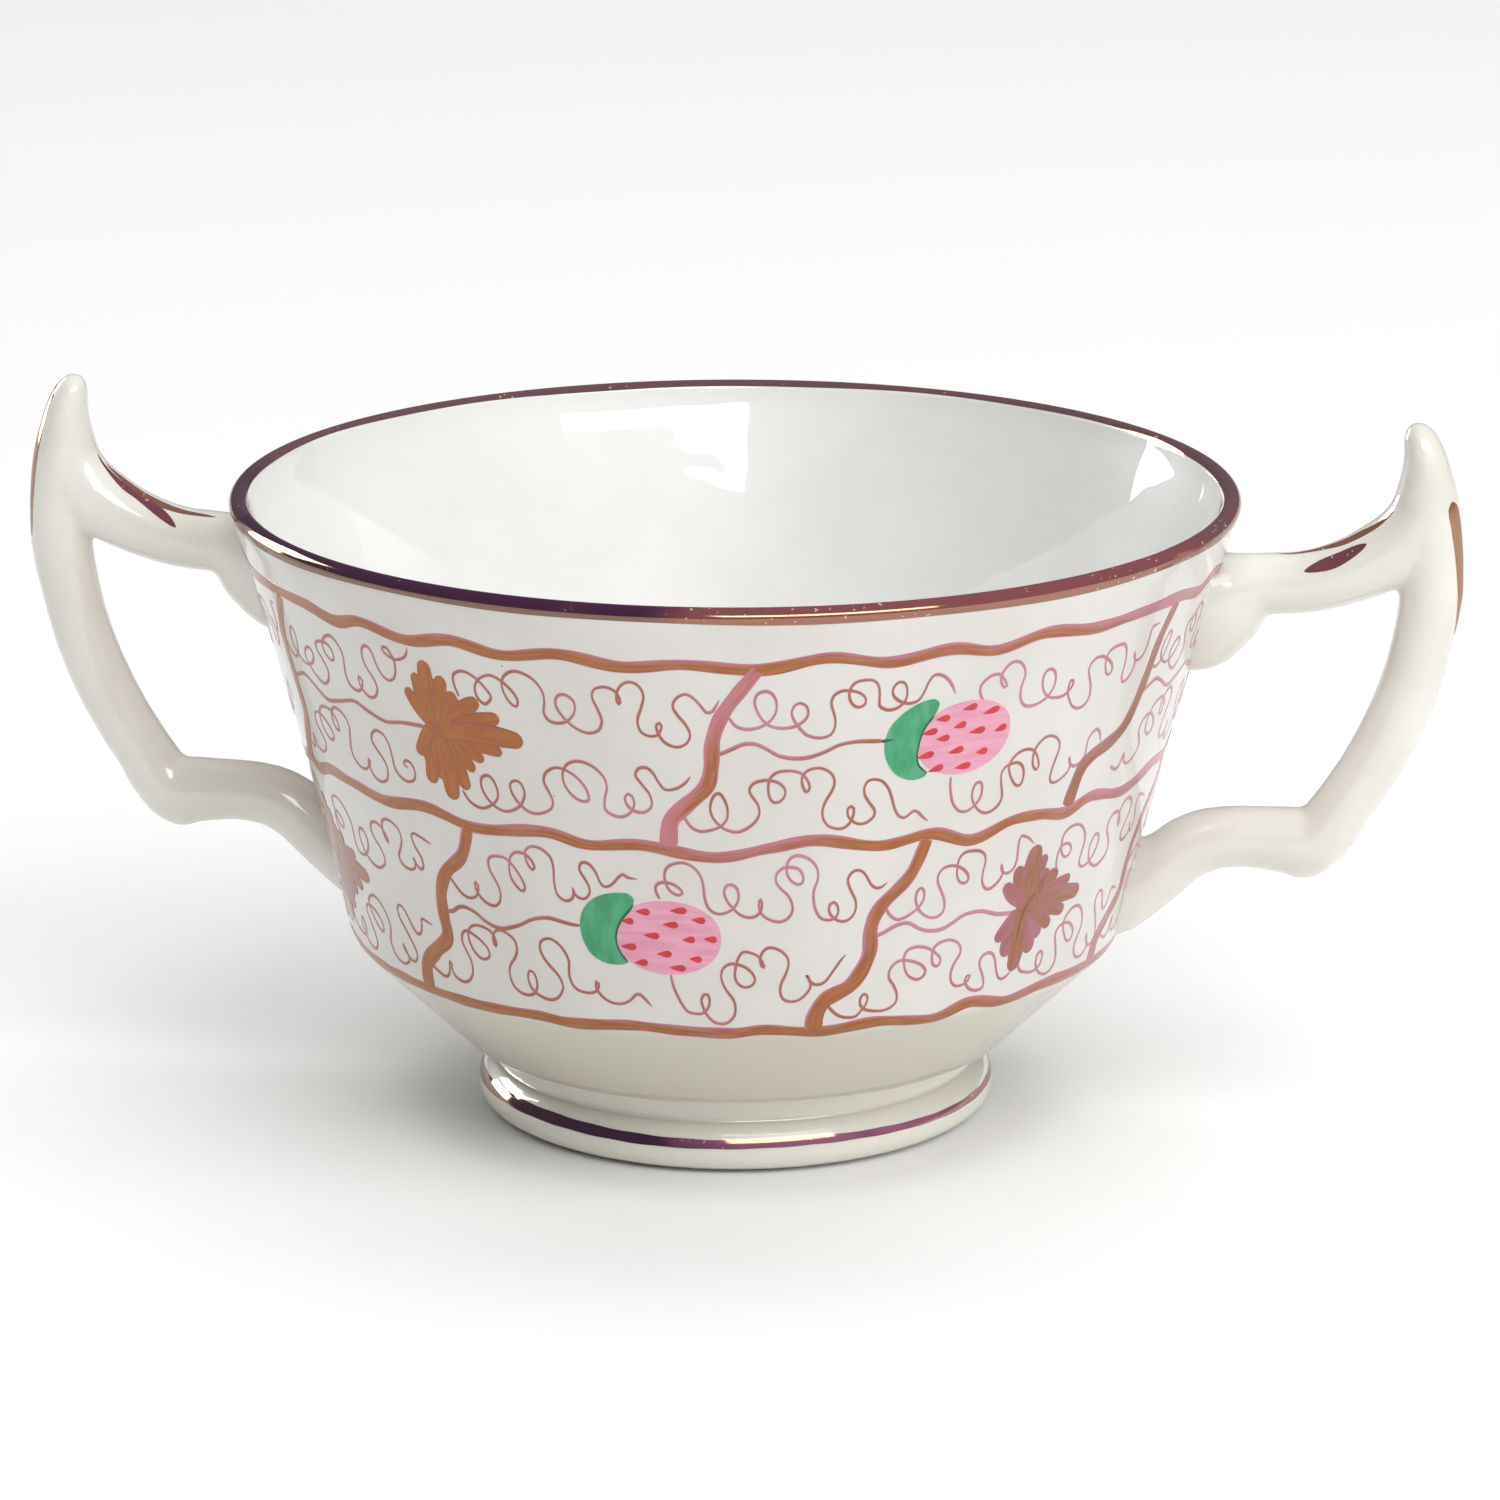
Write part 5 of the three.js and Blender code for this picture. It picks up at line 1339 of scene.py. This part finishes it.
# The band's two edges waver a little on their way round.
band = []
for i in range(TURNING_STEPS):
    turn = math.tau * i / TURNING_STEPS
    low = lip_radius - BAND_OUTSIDE + 0.1 * math.sin(3 * turn + 1) + 0.07 * math.sin(11 * turn)
    high = (math.pi - 1) * lip_radius + BAND_INSIDE + 0.1 * math.sin(4 * turn) + 0.05 * math.sin(13 * turn)
    band.append([(turn, low + (high - low) * k / (BAND_ROWS - 1)) for k in range(BAND_ROWS)])
rim_film = Film(on_lip)
rim_film.add(band, [[(0, 0)] * BAND_ROWS] * TURNING_STEPS, PAINT_THICKNESS, closed=True)
rim_lustre = purple_lustre("purple_lustre_rim", "#38103F", "#7E444E", "#664852")
rim_film.piece("lustre_rim_band", rim_lustre, "bowl_glaze")


def foot_line_width(gone, left, run):
    """The line is fullest on the left, where the brush was loaded, and thins to the right."""
    way = gone / (gone + left)
    swell = math.cos(math.tau * way) + 0.4 * math.cos(2 * math.tau * way)
    return FOOT_LINE_WIDTH * (1 + 0.25 * swell + 0.05 * math.sin(gone * 0.7))


foot_points = []
for i in range(FOOT_LINE_POINTS):
    way = i / FOOT_LINE_POINTS
    waver = 0.2 * math.sin(math.tau * (way + 0.306)) + 0.08 * math.sin(5 * math.tau * way)
    foot_points.append((FULL_TURN * way, FOOT_LINE_HEIGHT + waver))
foot_radius = radius_along(foot_outside)
foot_film = Film(on_turned(foot_radius), foot_radius)
foot_film.stroke(smooth_line(foot_points, closed=True), foot_line_width, PAINT_THICKNESS, FOOT_LINE_ROWS,
                 closed=True)
foot_lustre = purple_lustre("purple_lustre_foot", "#301048", "#B06890", "#70485A")
foot_film.piece("lustre_foot_line", foot_lustre, "foot_glaze")


# Handle strokes
# Quick lens-shaped strokes of the same lustre pick out the throat and the horn of each
# handle: one on the side, one along the top, and one on the outer face, each drawn from
# the horn down.
STROKE_LIFT = 0.02
STROKE_STEPS = 30
STROKE_ROWS = 9

# Each stroke: its points near the handle, its greatest width, and how far along that comes.
# All but the last are in mm.
RIGHT_STROKES = [
    ([(65.8, -2.4, 63.5), (64.6, -2.45, 62.8), (62.7, -2.54, 61.7), (61.1, -2.53, 61.0),
      (59.5, -2.65, 60.4)], 1.55, 0.55),
]
RIGHT_BROWN_STROKES = [
    ([(68.2, -1.9, 67.0), (66.6, -1.6, 65.4), (65.0, -1.3, 64.3), (63.1, -1.0, 63.2), (60.9, -0.6, 62.4),
      (56.5, -0.3, 61.9)], 1.05, 0.5),
    ([(74.35, -1.7, 68.1), (74.9, -1.6, 65.6), (75.3, -1.4, 62.0), (75.3, -1.1, 57.5), (74.9, -0.9, 54.0)],
     1.8, 0.15),
]
LEFT_STROKES = [
    ([(-68.2, -0.5, 67.4), (-65.5, -1.3, 64.5), (-63.4, -1.4, 63.2), (-61.2, -2.0, 61.8),
      (-59.2, -2.75, 60.3)], 1.2, 0.7),
]
LEFT_BROWN_STROKES = [
    ([(-67.2, -0.3, 66.4), (-65.2, -0.6, 64.6), (-62.5, -0.9, 63.0), (-60.0, -1.1, 62.1),
      (-55.2, -1.3, 61.3)], 1.15, 0.6),
    ([(-71.4, -0.5, 75.2), (-72.7, -0.9, 73.2), (-74.0, -1.3, 70.5), (-75.1, -1.7, 66.0),
      (-75.4, -1.8, 62.0), (-75.0, -1.6, 58.5)], 1.7, 0.5),
]


def on_handle(piece):
    """Gives the function that sets a stroke's points on a handle's nearest surface."""
    def place(point, lift):
        near, outwards = piece.closest_point_on_mesh(Vector(point) * MM)[1:3]
        return near + outwards * lift * MM
    return place


def along_points(points, share):
    """A point of the smooth line through the points, and the way it runs there."""
    places = [Vector(point) for point in points[:1] + points + points[-1:]]
    at = share * (len(points) - 1)
    i = min(int(at), len(points) - 2)
    a, b, c, d = places[i:i + 4]
    return curve_point(a, b, c, d, at - i), (c - b).normalized()


def lens_width(share, widest):
    """0 at both ends of a stroke and 1 where it is widest."""
    run = share / widest if share < widest else (1 - share) / (1 - widest)
    return max(0.02, math.sin(math.pi / 2 * run) ** 0.8)


def handle_strokes(name, piece, drawn, material):
    """Makes strokes on a handle into one piece."""
    film = Film(on_handle(piece))
    shares = [k / (STROKE_ROWS - 1) for k in range(STROKE_ROWS)]
    for points, width, widest in drawn:
        grid = []
        marks = []
        for i in range(STROKE_STEPS + 1):
            gone = i / STROKE_STEPS
            middle, run = along_points(points, gone)
            outwards = piece.closest_point_on_mesh(middle * MM)[2]
            across = outwards.cross(run).normalized() * width * lens_width(gone, widest)
            grid.append([tuple(middle + across * (share - 0.5)) for share in shares])
            marks.append([(gone, share) for share in shares])
        film.add(grid, marks, STROKE_LIFT)
    film.piece(name, material, "handle_glaze")


purple_strokes = purple_lustre("purple_lustre_strokes", "#7E3450", "#661C50", "#70404E")
brown_strokes = purple_lustre("brown_lustre_strokes", "#7C5852", "#8E604E", "#80584E")
handle_strokes("lustre_right_side_stroke", right_handle, RIGHT_STROKES, purple_strokes)
handle_strokes("lustre_right_brown_strokes", right_handle, RIGHT_BROWN_STROKES, brown_strokes)
handle_strokes("lustre_left_side_stroke", left_handle, LEFT_STROKES, purple_strokes)
handle_strokes("lustre_left_brown_strokes", left_handle, LEFT_BROWN_STROKES, brown_strokes)


# Studio
# A pale floor, lit by soft boxes on the right, high in front and overhead, so the cup
# shades off to the left. A window in front and two white cards on the left mirror in the
# glaze and the rims. The rest of the room is dark: there the lustre shows its purple.
FLOOR_SIZE = 6
ROOM_BRIGHTNESS = 0.12

# Each lamp: its place, size and power, and whether it lights things and mirrors in them.
LAMPS = {
    "side_box": (Vector((1.08, -0.6, 0.7)), (1.2, 1.2), 10.5, True, False),
    "high_box": (Vector((0.12, -0.84, 1.36)), (1.2, 1.2), 13.5, True, False),
    "top_box": (Vector((0, 0.9, 1.9)), (3.0, 2.0), 32, True, False),
    "front_window": (Vector((0.66, -1.09, 0.85)), (1.25, 0.43), 14, False, True),
    "left_card": (Vector((-0.95, 0.5, 0.5)), (0.5, 0.38), 9, False, True),
    "low_card": (Vector((-0.88, 0.48, 0.12)), (0.32, 0.2), 3, False, True),
}

bpy.ops.object.select_all(action="DESELECT")
bpy.ops.mesh.primitive_plane_add(size=FLOOR_SIZE, location=(0, 0, 0))
floor = bpy.context.object
floor.name = "floor"
floor_paint = new_material("matt_white_floor")
floor_shader = floor_paint.node_tree.nodes["Principled BSDF"]
floor_shader.inputs["Base Color"].default_value = colour("#FAFAFA")
floor_shader.inputs["Roughness"].default_value = 0.9
floor_shader.inputs["Specular IOR Level"].default_value = 0.1
floor.data.materials.append(floor_paint)

world = bpy.data.worlds.new("dim_room")
world.use_nodes = True
world.node_tree.nodes["Background"].inputs["Color"].default_value = (1, 1, 1, 1)
world.node_tree.nodes["Background"].inputs["Strength"].default_value = ROOM_BRIGHTNESS
bpy.context.scene.world = world
bpy.context.scene.view_settings.view_transform = "Standard"

for name, (place, size, power, lights, mirrors) in LAMPS.items():
    light_data = bpy.data.lights.new(name, "AREA")
    light_data.shape = "RECTANGLE"
    light_data.size, light_data.size_y = size
    light_data.energy = power
    light = bpy.data.objects.new(name, light_data)
    bpy.context.scene.collection.objects.link(light)
    light.location = place
    light.rotation_euler = (LOOKED_AT - place).to_track_quat("-Z", "Y").to_euler()
    light.visible_diffuse = lights
    light.visible_glossy = mirrors
